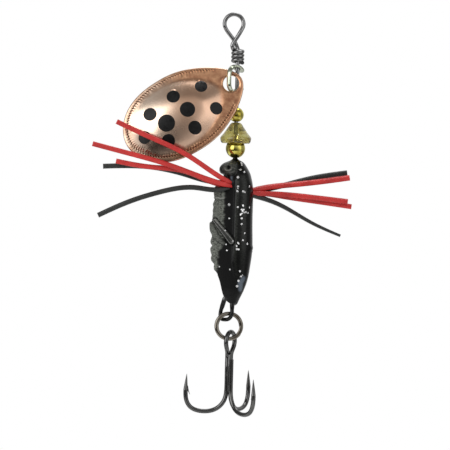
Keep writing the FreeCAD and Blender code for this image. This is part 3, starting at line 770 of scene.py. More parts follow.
def make_blade(copper_metal, paint):
    """The dished blade with its stamped edge line, hole and painted dots."""
    rings, loose, marks = blade_points()
    flat, faces, origin, (outer, hole, *_) = flat_mesh(
        rings, loose, lambda points: np.hypot(*points.T) < BLADE_HOLE + BLADE_EDGE / 4)
    count = len(flat)
    first_loose = sum(len(ring) for ring in rings)
    is_loose = origin >= first_loose
    stamped = np.zeros(count)
    stamped[is_loose] = marks[origin[is_loose] - first_loose]
    sheet = dish_height(flat) - rim_fall(flat)
    front = sheet + BLADE_THICKNESS / 2 - STITCH_DEPTH * stamped
    middle = flat[faces].mean(axis=1)
    dotted = np.zeros(len(faces), int)
    for along, across, radius in DOTS:
        off_centre = np.hypot(flat[:, 0] - along, flat[:, 1] - across)
        front += DOT_PAINT * (off_centre < radius - DOT_WALL / 2)
        dotted[np.hypot(middle[:, 0] - along, middle[:, 1] - across) < radius] = 1
    shape = Shape()
    shape.add(placed_on_blade(flat, front), faces, dotted.tolist())
    shape.add(placed_on_blade(flat, sheet - BLADE_THICKNESS / 2), faces[:, ::-1])
    outline = blade_outline()
    shape.round_edge(outer, [count + k for k in outer], functools.partial(
        blade_edge, lambda out: drawn_in(outline, BLADE_EDGE * (1 - out))))
    shape.round_edge(hole, [count + k for k in hole], functools.partial(
        blade_edge, lambda out: circle(BLADE_HOLE + BLADE_EDGE / 2 * (1 - out),
                                       HOLE_COUNT)[::-1]))
    blade = shape.piece("spinner_blade", "blade", [copper_metal, paint],
                        replaces=["blade"], sharp=50)
    rim = 1 - smooth_step(0.05, 0.5, dish_height(flat))
    x, _, z = np.array(shape.points[:count]).T
    # Painted dark reflection and painted shade low in the dish, fading out towards the hole and
    # weaker on the rim.
    shade = (smooth_step(0, 1.4, np.interp(x, *zip(*DISH_SHADE)) - z)
             * (1 - smooth_step(-12.0, -8.5, x)) * (0.85 - 0.55 * rim))
    edge = len(shape.points) - 2 * count
    plain = np.zeros(count + edge)
    set_attribute(blade, "rim", np.concatenate([rim, rim, np.ones(edge)]))
    # The last mask is a painted highlight at the far end that falls to painted shade by the
    # hole.
    for name, values in (("stamp", stamped), ("shade", shade),
                         ("painted_light_falloff", smooth_step(*PAINTED_LIGHT_FALLOFF, x))):
        set_attribute(blade, name, np.concatenate([values, plain]))


# ---------------------------------------------------------------- clevis

CLEVIS_HEADING = heading(236.3)
CLEVIS_SIDE = np.cross(UP, CLEVIS_HEADING)
CLEVIS_BOW = 1.9               # radius of the bow's two bends, to the middle of the sheet
CLEVIS_STRAIGHT = 0.72         # half the straight stretch between them
CLEVIS_REACH = 2.95            # from the shaft's axis to the bow's middle sheet
CLEVIS_SLOPE = math.radians(25)
CLEVIS_THICKNESS = 0.42
CLEVIS_CROWN = 0.12            # how much the strip's outer face is domed
CLEVIS_EDGE = 0.14
CLEVIS_HOLE = 0.56             # radius of the two holes for the shaft
CLEVIS_STEP = 0.2              # spacing of the strip's loose points
CLEVIS_GRID = (40, 6)          # how many of them there are each way from its middle
TAB_LENGTH = 1.85
TAB_BREADTH = 1.2
STRIP_HALF = 0.5
BOW_HALF = CLEVIS_STRAIGHT + (math.pi / 2 + CLEVIS_SLOPE) * CLEVIS_BOW
TAB_MIDDLE = BOW_HALF + (CLEVIS_REACH - CLEVIS_BOW * (1 + math.sin(CLEVIS_SLOPE))
                         ) / math.cos(CLEVIS_SLOPE)


def clevis_outline(count=220):
    """The strip laid flat: tabs at both ends, narrow between them."""
    reach = TAB_MIDDLE + TAB_LENGTH
    along = reach * np.sin(np.linspace(-math.pi / 2, math.pi / 2, count // 2))
    off_tab = np.abs(np.abs(along) - TAB_MIDDLE) / TAB_LENGTH
    tab = TAB_BREADTH * np.sqrt(np.clip(1 - off_tab ** 2, 0, 1))
    strip = np.where(np.abs(along) < TAB_MIDDLE, STRIP_HALF, 0.0)
    width = np.maximum(tab, strip)
    lower = np.column_stack([along, -width])
    upper = np.column_stack([along[-2:0:-1], width[-2:0:-1]])
    return resampled(np.vstack([lower, upper, lower[:1]]), count, closed=True)


def bent_clevis(flat, depth):
    """Flat strip points folded round the bow; depth is outwards from the middle sheet."""
    reach = np.abs(flat[:, 0])
    straight = np.minimum(reach, CLEVIS_STRAIGHT)
    angle = (np.clip(reach, CLEVIS_STRAIGHT, BOW_HALF) - CLEVIS_STRAIGHT) / CLEVIS_BOW
    beyond = np.clip(reach - BOW_HALF, 0, None)
    radius = CLEVIS_BOW + depth
    out = CLEVIS_REACH - CLEVIS_BOW + radius * np.cos(angle) - beyond * np.sin(angle)
    up = np.sign(flat[:, 0]) * (straight + radius * np.sin(angle) + beyond * np.cos(angle))
    return (-CLEVIS_MIDDLE * UP + out[:, None] * CLEVIS_HEADING
            + flat[:, 1:] * CLEVIS_SIDE + up[:, None] * UP)


def make_clevis(material):
    """A folded nickel strip with a tab at each end, drilled for the shaft."""
    outline = clevis_outline()
    rings = [drawn_in(outline, CLEVIS_EDGE)]
    rings += [circle(CLEVIS_HOLE, 40)[::-1] + vec(side * TAB_MIDDLE, 0) for side in (-1, 1)]
    loose = []
    rows, columns = CLEVIS_GRID
    for i in range(-rows, rows + 1):
        for j in range(-columns, columns + 1):
            x, y = i * CLEVIS_STEP, (j + 0.5 * (i % 2)) * CLEVIS_STEP
            clear = math.hypot(abs(x) - TAB_MIDDLE, y) > CLEVIS_HOLE + 0.12
            if (clear and off_outline(outline, x, y) > CLEVIS_EDGE + 0.1
                    and inside_ring(outline, x, y)):
                loose.append((x, y))
    flat, faces, _, (edge, *holes) = flat_mesh(rings, np.array(loose), lambda points: np.hypot(
        np.abs(points[:, 0]) - TAB_MIDDLE, points[:, 1]) <= CLEVIS_HOLE * 0.97)
    half = CLEVIS_THICKNESS / 2
    across = np.clip(np.abs(flat[:, 1]) / (STRIP_HALF - CLEVIS_EDGE), 0, 1)
    crown = CLEVIS_CROWN * (1 - across ** 2)
    crown = crown * (1 - smooth_step(BOW_HALF - 1.2, BOW_HALF - 0.3, np.abs(flat[:, 0])))
    count = len(flat)
    shape = Shape()
    shape.add(bent_clevis(flat, half + crown), faces)
    shape.add(bent_clevis(flat, -half), faces[:, ::-1])
    shape.round_edge(edge, [count + k for k in edge], lambda angle: bent_clevis(
        drawn_in(outline, CLEVIS_EDGE * (1 - math.sin(angle))), half * math.cos(angle)))
    for hole in holes:
        shape.join(hole, [count + k for k in hole])
    shape.piece("clevis_strip", "clevis", [material], replaces=["clevis"], sharp=45)


# ---------------------------------------------------------------- beads

BORE_CHAMFER = 0.1
BELL_HEIGHT = 4.15
BELL_ROOF = 1.1                # how high the hollow under the bell reaches
# The bell's outside and its hollow: radius and height above its rim.
BELL_OUTSIDE = [(2.72, 0.03), (2.95, 0.3), (3.07, 0.75), (3.08, 1.12), (2.86, 1.5), (2.4, 2.05),
                (1.85, 2.85), (1.35, 3.6), (1.05, 4.0), (0.86, BELL_HEIGHT)]
BELL_HOLLOW = [(1.3, 1.04), (1.75, 0.9), (2.05, 0.6), (2.2, 0.2), (2.35, 0.02)]


def make_round_bead(name, diameter, level, material):
    """A brass ball with a chamfered bore."""
    radius = diameter / 2
    mouth = math.acos((BORE + BORE_CHAMFER) / radius)
    bore_height = radius * math.sin(mouth) - BORE_CHAMFER
    profile = arc(vec(0, -level), vec(radius, 0), vec(0, radius),
                  np.degrees(np.linspace(-mouth, mouth, 48)))
    profile += [(BORE, bore_height - level), (BORE, -bore_height - level)]
    shape = Shape()
    lathe(shape, profile, 96)
    shape.piece(name.replace("bead", "brass_bead"), name, [material],
                replaces=[name])


def make_bell(material):
    """The clear bell: a cone over a rounded rim, hollow underneath."""
    steps = [*spline(BELL_OUTSIDE, 60), (BORE + 0.06, BELL_HEIGHT), (BORE, BELL_HEIGHT - 0.08),
             (BORE, BELL_ROOF + 0.05), (BORE + 0.1, BELL_ROOF - 0.03),
             *spline(BELL_HOLLOW, 20)]
    shape = Shape()
    lathe(shape, [(radius, height - BELL_RIM) for radius, height in steps], 128)
    shape.piece("bell_shell", "bell_bead", [material], replaces=["bell_bead"],
                sharp=60)


# ---------------------------------------------------------------- shaft wire

WIRE_RADIUS = 0.4
WRAP_REACH = 0.93
WRAP_PITCH = 0.75
WRAP_TOP = 4.6
WRAP_TURNS = 3.5
EYE_RADIUS = 1.9
EYE_CENTRE = vec(-0.9, 0, 0.52)
EYE_CROSSING = vec(-0.72, 0.4, -2.95)
EYE_ENDS = (-30, 210)          # angles at which the eye's round part starts and ends
EYE_LEAN = 0.15 * math.cos(math.radians(30))   # how far its ends lean to let the wire cross
SHAFT_LEVELS = (5.4, 8, 12, 20, 30, 40, 48, 51)
TAIL_CENTRE = vec(-1.03, 0, -57.15)
TAIL_RADIUS = 1.5
TAIL_ACROSS = heading(-40) * TAIL_RADIUS
TAIL_TOP = 2.95                # how high the tail loop's legs start, above its centre
TAIL_TIGHT = 0.5               # the tail's left bend, as a share of its right one
LACQUER = 0.18                 # how much thicker the lacquered foot is
LACQUER_START = (-54.0, -54.6)
LACQUER_END = (-56.8, -55.8)


def make_shaft_wire(material):
    """One wire: wraps, line eye, shaft and tail loop."""
    route = []
    for turn in np.arange(WRAP_TURNS, -0.01, -1 / 16):
        angle = math.pi - 2 * math.pi * turn
        route.append(vec(WRAP_REACH * math.cos(angle), WRAP_REACH * math.sin(angle),
                         -WRAP_TOP - turn * WRAP_PITCH))
    route += [vec(-1.14, -0.42, -3.95), EYE_CROSSING * vec(1, -1, 1)]
    eye = arc(EYE_CENTRE, vec(EYE_RADIUS, 0, 0), vec(0, 0, EYE_RADIUS),
              range(EYE_ENDS[0], EYE_ENDS[1] + 1, 15))
    eye[0] -= vec(0, EYE_LEAN, 0)
    eye[-1] += vec(0, EYE_LEAN, 0)
    route += [*eye, EYE_CROSSING, vec(-0.3, 0.4, -3.8), vec(-0.02, 0.05, -4.6)]
    route += [-level * UP for level in SHAFT_LEVELS]
    route += [TAIL_CENTRE + TAIL_ACROSS + rise * UP for rise in (TAIL_TOP, 2.3, 1.5, 0.8, 0.3)]
    tight = (TAIL_CENTRE - (1 - TAIL_TIGHT) * TAIL_ACROSS
             - (1 - TAIL_TIGHT) * TAIL_RADIUS * UP)
    route += arc(TAIL_CENTRE, TAIL_ACROSS, -TAIL_RADIUS * UP, range(0, 91, 15))
    route += arc(tight, TAIL_TIGHT * TAIL_ACROSS, -TAIL_TIGHT * TAIL_RADIUS * UP,
                 range(90, 181, 18))
    route += [TAIL_CENTRE - (1 - 0.75 * share) * TAIL_ACROSS + TAIL_TOP * share * UP
              for share in (0.12, 0.35, 0.65, 1.0)]
    path = spline(route, 1100)
    level = path[:, 2]
    lacquered = smooth_step(*LACQUER_START, level) * smooth_step(*LACQUER_END, level)
    shape = Shape()
    swept(shape, path, circle(WIRE_RADIUS, 16), 1 + LACQUER * lacquered)
    shape.piece("bent_wire", "shaft", [material], replaces=["shaft_wire"], sharp=50)


# ---------------------------------------------------------------- treble hook

HOOK_AXIS = vec(-0.05, 0.0728, 0)
HOOK_HANG = 61.1               # level that the hook hangs and tilts from
HOOK_TILT = math.radians(5.5)
HOOK_HEADINGS = (183.7, 63.7, 303.7)
HOOK_RADIUS = 0.45
HOOK_TAPER = 3.3
HOOK_EYE_RADIUS = 1.95
HOOK_EYE_TURN = 64.0
# One hook from its shank to its point: out from the axis and down.
HOOK_LINE = [(0.53, 67.5), (0.53, 70.0), (0.53, 72.2), (0.6, 73.5), (0.88, 74.7), (1.74, 76.0),
             (3.04, 76.85), (4.71, 77.17), (6.28, 77.02), (7.62, 76.4), (8.46, 75.18),
             (8.72, 73.74), (8.68, 71.81), (8.56, 69.6)]
BARB_LINE = [(8.45, 72.1), (8.2, 73.0), (7.86, 73.85)]
BARB_RADIUS = 0.2
SHANK_OUT = 0.53               # from the hook's axis to each shank
NECK_LEVEL = 65.5
SINGLE_TOPS = (66.6, 66.9)     # levels at which the single hook starts
SOLDER_RADIUS = 0.62
SOLDER_LEVELS = (65.7, 69.0, 73.3)


def on_hook(out, direction, level):
    """A place on the hanging hook, from its axis and top, tilted with it."""
    place = HOOK_AXIS + out * heading(direction) + (HOOK_HANG - level) * UP
    y, z = place[1] - HOOK_AXIS[1], place[2]
    return vec(place[0], HOOK_AXIS[1] + y * math.cos(HOOK_TILT) - z * math.sin(HOOK_TILT),
               y * math.sin(HOOK_TILT) + z * math.cos(HOOK_TILT) - HOOK_HANG)


def make_treble_hook(material):
    """Two hooks and the eye bent from one wire, and a third hook soldered to them."""
    lines = [[on_hook(out, direction, level) for out, level in HOOK_LINE]
             for direction in HOOK_HEADINGS]
    necks = [on_hook(SHANK_OUT, direction, NECK_LEVEL) for direction in HOOK_HEADINGS]
    eye = []
    for angle in np.radians(range(-30, 211, 20)):
        eye.append(on_hook(HOOK_EYE_RADIUS * math.cos(angle), HOOK_EYE_TURN,
                           HOOK_HANG + HOOK_EYE_RADIUS * (1 - math.sin(angle))))
    double = [*lines[1][::-1], necks[1], *eye, necks[0], *lines[0]]
    single = [on_hook(SHANK_OUT, HOOK_HEADINGS[2], level) for level in SINGLE_TOPS] + lines[2]
    for node, points, barbs in (("double_hook", double, HOOK_HEADINGS[:2]),
                                ("single_hook", single, HOOK_HEADINGS[2:])):
        path = spline(points, 700)
        lengths = arc_lengths(path)
        from_tip = lengths[-1] - lengths
        if node == "double_hook":
            from_tip = np.minimum(from_tip, lengths)
        shape = Shape()
        swept(shape, path, circle(HOOK_RADIUS, 18),
              np.clip(from_tip / HOOK_TAPER, 0.002, 1) ** 0.8)
        for direction in barbs:
            barb = spline([on_hook(out, direction, level) for out, level in BARB_LINE], 12)
            swept(shape, barb, circle(BARB_RADIUS, 10), np.linspace(1, 0.15, 12))
        if node == "double_hook":
            solder = spline([on_hook(0, 0, level) for level in SOLDER_LEVELS], 30)
            swept(shape, solder, circle(SOLDER_RADIUS, 18),
                  np.sin(np.linspace(0.15, math.pi - 0.15, 30)) ** 0.25)
        shape.piece(node + "_wire", "treble_hook", [material], replaces=[node],
                    sharp=50)


# ---------------------------------------------------------------- rubber legs

LEG_WIDTH = 1.08
LEG_HEIGHT = 1.0
LEG_CORNER = 0.34              # how round the strand's corners are
LEG_SQUEEZE = 0.56             # how much a leg is squeezed in its hole
LEG_RING = 0.58                # how far each leg is from the middle of the hole
LEG_EASE = 1.8                 # how far it takes to swell again outside the hole
LEG_PHASE = 0.75               # how far round the hole the first leg is, counted in legs
# Free ends of each leg, out from the near and the far mouth of the hole to the tips.
LEGS = {
    "leg_red_1": (
        [(-2.4, -1.9, 1.8), (-9.0, -3.6, 5.95), (-16.5, -4.4, 9.3), (-22.9, -4.6, 12.1)],
        [(3.2, 1.2, 0.9), (7.4, 1.9, 1.5), (12.3, 2.4, 2.1), (20.0, 2.6, 3.3)]),
    "leg_black_1": (
        [(-3.1, 0.45, 0.6), (-9.0, -0.2, 1.95), (-16.3, -0.7, 3.3), (-25.5, -0.9, 3.2)],
        [(2.7, 2.6, 0.5), (6.2, 3.4, 1.3), (12.3, 3.9, 3.0), (19.5, 4.0, 4.3)]),
    "leg_red_3": (
        [(-3.0, -0.87, 0.35), (-8.8, -1.7, 2.5), (-16.3, -2.1, 3.3), (-22.9, -2.4, 4.3)],
        [(3.2, 2.2, -0.35), (6.8, 2.6, -0.8), (12.4, 2.9, -1.5), (20.5, 2.9, -2.5)]),
    "leg_black_2": (
        [(-2.7, -1.0, -0.92), (-7.0, -1.6, -0.6), (-14.3, -2.4, -1.75), (-19.9, -2.6, -3.65),
         (-26.2, -2.6, -6.6)],
        [(3.1, 1.5, -1.4), (4.9, 1.8, -2.0), (8.3, 2.1, -3.6), (12.5, 2.3, -5.9),
         (18.4, 2.3, -8.4)]),
    "leg_red_2": (
        [(-2.6, -2.0, 0.55), (-12.6, -3.3, 3.85), (-20.1, -3.6, 5.8), (-27.6, -3.6, 7.6)],
        [(3.3, 0.9, -0.3), (7.0, 1.2, -0.4), (12.4, 1.4, -0.8), (19.7, 1.4, -1.5)]),
}
THIN_TIPS = {"leg_black_2": 0.5}   # how thick a far tip is where it tapers


def make_leg(name, place, near_points, far_points, material):
    """One rubber strand on a smooth curve, squeezed at its place in the casting's hole."""
    near, far = LEG_MOUTH_NEAR + LEG_SINK, LEG_MOUTH_FAR
    along = unit(far - near)
    across = unit(np.cross(along, UP))
    angle = 2 * math.pi * (place + LEG_PHASE) / len(LEGS)
    offset = LEG_RING * (math.cos(angle) * across + math.sin(angle) * np.cross(across, along))
    inside = [near + offset, (near + far) / 2 + offset, far + offset]
    route = [near + vec(*step) for step in reversed(near_points)] + inside
    route += [far + vec(*step) for step in far_points]
    path = spline(route, 160)
    lengths = arc_lengths(path)
    hole_start, hole_end = [lengths[np.argmin(np.linalg.norm(path - mouth, axis=1))]
                            for mouth in (inside[0], inside[2])]
    free = np.maximum(smooth_step(hole_start, hole_start - LEG_EASE, lengths),
                      smooth_step(hole_end, hole_end + LEG_EASE, lengths))
    scales = LEG_SQUEEZE + (1 - LEG_SQUEEZE) * free
    scales = scales * np.interp(lengths, [hole_end, lengths[-1]], [1, THIN_TIPS.get(name, 1)])
    shape = Shape()
    swept(shape, path, rounded_box(LEG_WIDTH, LEG_HEIGHT, LEG_CORNER), scales)
    shape.piece(name.replace("leg", "strand"), "shaft", [material], replaces=[name],
                sharp=50)


# ---------------------------------------------------------------- split ring

RING_RADIUS = 2.51
RING_RADIAL = 0.8              # the wire's width across the ring
RING_AXIAL = 0.44              # and along the ring's axis
RING_PITCH = 0.46
RING_TURNS = 1.9
RING_COUNT = 200
RING_START = heading(10)
RING_NORMAL = np.cross(RING_START, UP)


def make_split_ring(material):
    """Wire with an oval section, coiled nearly twice and cut off square."""
    turns = np.linspace(0, RING_TURNS, RING_COUNT)
    angles = 2 * math.pi * turns
    start = RING_CENTRE - RING_NORMAL * (RING_PITCH * RING_TURNS / 2)
    outward = np.cos(angles)[:, None] * RING_START + np.sin(angles)[:, None] * UP
    path = start + RING_RADIUS * outward + (RING_PITCH * turns)[:, None] * RING_NORMAL
    ahead = np.gradient(path, axis=0)
    ahead /= np.linalg.norm(ahead, axis=1)[:, None]
    shape = Shape()
    swept(shape, path, circle(0.5, 28) * vec(RING_RADIAL, RING_AXIAL),
          frames=(outward, np.cross(ahead, outward)))
    shape.piece("ring_coil", "split_ring", [material], replaces=["split_ring"],
                sharp=45)


# ---------------------------------------------------------------- insect body

BODY_TURN = math.radians(20)
BACK = vec(math.cos(BODY_TURN), -math.sin(BODY_TURN), 0)
FLANK = np.cross(BACK, UP)
# Level, left edge and right edge as seen from the front, half breadth from flank to flank.
BODY_STATIONS = [
    (26.12, -0.44, 0.44, 0.44), (26.3, -0.45, 0.45, 0.45), (26.62, -0.7, 0.7, 0.6),
    (26.98, -1.35, 1.4, 1.2), (27.5, -2.2, 1.95, 1.85), (28.1, -2.75, 2.35, 2.25),
    (28.7, -2.95, 2.7, 2.45), (29.3, -2.85, 3.0, 2.6), (29.9, -2.5, 3.2, 2.7),
    (30.6, -2.7, 3.38, 2.8), (31.4, -3.5, 3.55, 2.95), (32.4, -3.9, 3.65, 3.05),
    (34.0, -4.05, 3.7, 3.2),
    (36.5, -4.1, 3.7, 3.25), (38.5, -4.2, 3.7, 3.25), (41.0, -4.3, 3.75, 3.25),
    (43.3, -4.35, 3.82, 3.25), (45.5, -4.2, 3.75, 3.15), (47.0, -3.9, 3.58, 3.0),
    (48.5, -3.4, 3.38, 2.8), (49.8, -2.9, 3.18, 2.55), (51.2, -2.4, 2.85, 2.3),
    (53.0, -1.95, 2.2, 1.95), (54.2, -1.5, 1.65, 1.7), (55.0, -0.9, 1.3, 1.45),
    (55.6, 0.0, 1.0, 1.1), (55.78, 0.3, 0.7, 0.7),
]
BODY_SQUARENESS = 2.3
BODY_COLUMNS = 220
BODY_CROWN = 27.1              # level where the neck's rows end
BODY_FOOT = 55.0               # level where the foot's rows start
BODY_ROWS = (20, 261, 21)      # rows in the neck, between it and the foot, and in the foot
# Places below are on the near flank as seen from the front: across and up, from the origin.
EYE = (-1.22, -28.2)
LEG_MOUTH_NEAR = vec(-0.868, -3.478, -31.85)
LEG_MOUTH_FAR = vec(3.104, 1.793, -32.95)
LEG_MOUTH_RADIUS = 0.8
LEG_SINK = vec(0.05, 1.25, 0)  # how far the legs are sunk in the near mouth
LUMP_PITCH = 1.9
WING_EDGE = [(0.75, -29.0), (0.5, -30.1), (0.4, -35.0), (0.35, -41.0), (0.3, -44.5),
             (0.32, -47.0), (0.75, -49.3), (1.3, -50.9), (2.2, -53.4), (2.6, -54.5)]
THIGH = [(-4.5, -39.0), (-4.3, -40.4), (-3.36, -42.1), (-2.0, -43.4)]
SHIN = [(-3.8, -38.85), (-2.72, -40.2), (-0.42, -43.0)]
# Where the grey belly ends towards the wing, down the body: level and place across.
BELLY_END = [(32.0, -2.0), (43.4, -2.0), (44.3, -2.35), (45.3, -2.9), (46.4, -3.05),
             (47.8, -2.85), (49.1, -3.1)]
UNDER_EYE = [(-2.2, -28.7), (-1.3, -29.0), (-0.35, -28.65), (0.0, -28.2)]
MOUTH = [(-3.1, -29.75), (-2.3, -29.75), (-1.7, -29.95)]
COLLAR = [(0.55, -27.2), (0.45, -28.4), (0.2, -29.4), (-0.4, -30.0)]
# The jaw line carries only a painted glint.
JAW = [(-2.95, -28.7), (-2.65, -29.4), (-1.9, -29.75)]
THROAT = [(-0.75, -30.2), (-0.5, -31.7)]
SEAM = [(-4.1, -34.3), (-2.1, -34.45)]
MOUTH_LIP = [(-0.25, -30.9), (-0.25, -32.4)]
# The facet near the tail gets a painted bluish reflection.
TIP_FACET = [(2.3, -50.4), (1.65, -51.2), (1.8, -52.5)]


def near_line(x, z, line):
    """Distance from a line drawn on the flank, and how far along it the nearest point is."""
    line = np.asarray(line, float)
    lengths = arc_lengths(line)
    best = np.full(x.shape, 1e9)
    place = np.zeros(x.shape)
    for start, end, before in zip(line, line[1:], lengths):
        run = end - start
        length = np.linalg.norm(run)
        share = np.clip(((x - start[0]) * run[0] + (z - start[1]) * run[1]) / length ** 2, 0, 1)
        off = np.hypot(x - start[0] - share * run[0], z - start[1] - share * run[1])
        closer = off < best
        best = np.where(closer, off, best)
        place = np.where(closer, (before + share * length) / lengths[-1], place)
    return best, place


def off_line(x, z, line):
    """Distance from a line drawn on the flank."""
    return near_line(x, z, line)[0]


def rounded(off, width, height):
    """A rib with a round top."""
    return height * np.sqrt(np.clip(1 - (off / width) ** 2, 0, 1))


def head_relief(x, z):
    """Cheek, eye, collar, mouth and throat."""
    eye_off = np.hypot(x - EYE[0], z - EYE[1])
    cheek = 0.2 * (1 - smooth_step(1.4, 2.1, np.hypot(x + 1.35, (z + 28.4) * 1.1)))
    ring = 0.16 * bell(eye_off, 0.66, 0.18)
    pupil = -0.4 * (1 - smooth_step(0.2, 0.44, eye_off))
    return (cheek + ring + pupil + rounded(off_line(x, z, UNDER_EYE), 0.2, 0.14)
            - 0.3 * bell(off_line(x, z, MOUTH), 0, 0.2)
            - 0.22 * bell(off_line(x, z, COLLAR), 0, 0.25)
            + 0.16 * bell(off_line(x, z, THROAT), 0, 0.25))


def belly_relief(x, z, edge):
    """Grey belly: upright strands above the knee and lumps down the edge below it.

    Gives the height and how much of the belly is at each place.
    """
    inner = np.interp(-z, *zip(*BELLY_END)) + 0.12 * np.sin(3.1 * z) + 0.08 * np.sin(7.3 * z)
    belly = ((1 - smooth_step(inner - 0.3, inner + 0.35, x)) * smooth_step(-50.6, -49.3, z)
             * (1 - smooth_step(-32.3, -31.4, z)))
    below_knee = 1 - smooth_step(-42.2, -41.2, z)
    outer = 1 - smooth_step(edge + 0.9, edge + 2.2, x)
    lumps = np.abs(np.cos(math.pi * (z + 43.0) / LUMP_PITCH)) ** 0.7
    strand = x * 1.9 + 0.35 * np.sin(z * 0.8) + 0.2 * np.sin(z * 2.1 + x)
    strands = 0.09 * np.sin(2 * math.pi * strand) + 0.05 * np.sin(2 * math.pi * 1.7 * strand + z)
    band = rounded(off_line(x, z, SEAM), 0.12, 0.1) - 0.12 * bell(z, -34.75, 0.15)
    cracks = -0.1 * below_knee * (1 - lumps) * (1 - outer)
    relief = (0.1 + strands + band * (1 - below_knee) + cracks
              + outer * below_knee * 0.24 * (lumps - 0.5) + 0.05 * outer)
    return belly * relief, belly


def hind_leg_relief(x, z):
    """The folded hind leg: a thick thigh along the edge and a slim shin across the flank.

    Gives the height, what is on the leg, how much painted highlight it gets, the slot between
    its two parts, painted as shade, and the painted glints on the lips of the shin.
    """
    thigh_off, thigh_place = near_line(x, z, THIGH)
    shin_off, shin_place = near_line(x, z, SHIN)
    thigh_width = 0.5 + 0.75 * thigh_place * (1 - thigh_place)
    thigh = rounded(thigh_off, thigh_width, 0.75 - 0.4 * thigh_place)
    shin_width = 0.3 + 0.24 * shin_place
    shin = 0.45 * (1 - smooth_step(shin_width - 0.1, shin_width, shin_off))
    lip = bell(shin_off, shin_width - 0.1, 0.07)
    trough = -0.14 * bell(shin_off, 0, 0.6 * shin_width)
    slot = bell(shin_off, shin_width + 0.16, 0.16)
    on_shin = shin_off < shin_width
    height = np.where(on_shin, shin + 0.1 * lip + trough, np.maximum(thigh - 0.6 * slot, 0))
    height = height - 0.2 * slot * (thigh <= 0)
    on_leg = np.maximum(thigh * (1 - slot), shin) > 0.06
    # Painted highlight: strong on the thigh, faint on the shin away from its lips.
    leg_highlight = np.where(on_shin, 0.12 * (1 - lip), 0.8 * smooth_step(0.05, 0.5, thigh))
    return height, on_leg, leg_highlight * on_leg, slot * ~on_shin, lip * on_shin


def wing_relief(x, z):
    """The wing case's rounded rib and the sunk flank beside it.

    Gives the height, how much of the sunk flank is at each place, painted as shade, and the
    painted highlights along the rib and across the wing case.
    """
    across, up = np.array(WING_EDGE).T
    edge_x = np.interp(-z, -up, across)
    fade = smooth_step(-29.0, -30.6, z) * smooth_step(-53.0, -40.0, z)
    rib = 0.12 * bell(off_line(x, z, WING_EDGE), 0, 0.6)
    step = -0.2 * (1 - smooth_step(edge_x - 0.6, edge_x, x))
    valley = -0.1 * bell(x, edge_x - 1.0, 0.5)
    # The sunk flank is painted near-black as shade.
    sunk = smooth_step(edge_x - 0.35, edge_x - 0.8, x)
    # Painted highlights: a band along the rib and a broad one across the wing case.
    lit = 0.2 * bell(x, edge_x + 0.15, 0.3) + 0.12 * bell(x, 2.0, 0.7)
    return (rib + step + valley) * fade, sunk, lit * fade


def mouth_relief(x, z):
    """The dimple where the legs leave the casting, and the lip beside it."""
    off = np.hypot(x - LEG_MOUTH_NEAR[0] + 0.62, z - LEG_MOUTH_NEAR[2] - 0.1)
    dimple = -0.9 * (1 - smooth_step(LEG_MOUTH_RADIUS - 0.3, LEG_MOUTH_RADIUS + 0.05, off))
    return dimple + 0.35 * bell(off_line(x, z, MOUTH_LIP), 0, 0.35)


def carving(x, z, left, flank_share):
    """The height of the relief all over the flanks, and the masks for the enamel's matt grey,
    painted sheen, highlights, shade, glints and reflection.
    """
    # The belly's mask: matt grey with a painted sheen.
    belly, grey = belly_relief(x, z, left)
    hind, on_leg, leg_sheen, slot, lips = hind_leg_relief(x, z)
    wing, sunk, lit = wing_relief(x, z)
    near_side = flank_share > 0
    knee = 0.18 * bell(z, -44.2, 0.5) * smooth_step(3.0, 3.5, x)
    relief = head_relief(x, z) + wing + np.where(near_side, mouth_relief(x, z), 0) + knee
    relief = relief + np.where(on_leg, hind, belly + np.minimum(hind, 0))

    eye_off = np.hypot(x - EYE[0], z - EYE[1])
    # Painted shade: the pupil, the leg hole, the slot and the sunk flank.
    pupil = 1 - smooth_step(0.26, 0.42, eye_off)
    leg_hole = 1 - smooth_step(0.7, 1.0, np.hypot(x - LEG_MOUTH_NEAR[0], z - LEG_MOUTH_NEAR[2]))
    # Painted glint: a crescent under the eye.
    crescent = bell(eye_off, 0.66, 0.12) * smooth_step(0.0, -0.4, z - EYE[1])
    # Painted highlight: a grey cheek round the eye.
    cheek = 0.45 * (1 - smooth_step(0.9, 1.9, np.hypot(x - EYE[0] - 0.2, z - EYE[1])))
    tail = smooth_step(-31.0, -32.5, z) * smooth_step(-54.5, -52.0, z)
    flank = 0.85 * sunk * (1 - grey) * tail * ~on_leg
    # Painted reflection: bluish on the throat and on a facet near the tail.
    throat, throat_place = near_line(x, z, THROAT)
    facet = 1 - smooth_step(0.2, 0.75, off_line(x, z, TIP_FACET))
    # Masks: matt grey belly with painted sheen and painted highlights; painted shade in hollows;
    # painted glints along lips; a bluish painted reflection on two facets.
    return relief, {
        "grey_and_sheen": np.where(on_leg, leg_sheen, np.maximum.reduce([grey, cheek, lit])),
        "hollow": np.maximum.reduce([slot, pupil, leg_hole * near_side, flank]),
        "edge": np.maximum.reduce([0.45 * lips, 0.2 * crescent,
                                   0.2 * bell(off_line(x, z, JAW), 0, 0.12),
                                   0.3 * bell(off_line(x, z, SEAM), 0, 0.12) * grey]),
        "facet_reflection": np.maximum(0.55 * bell(throat, 0, 0.22) * (1 - throat_place),
                           0.6 * facet * smooth_step(0.1, 0.5, flank_share)),
    }


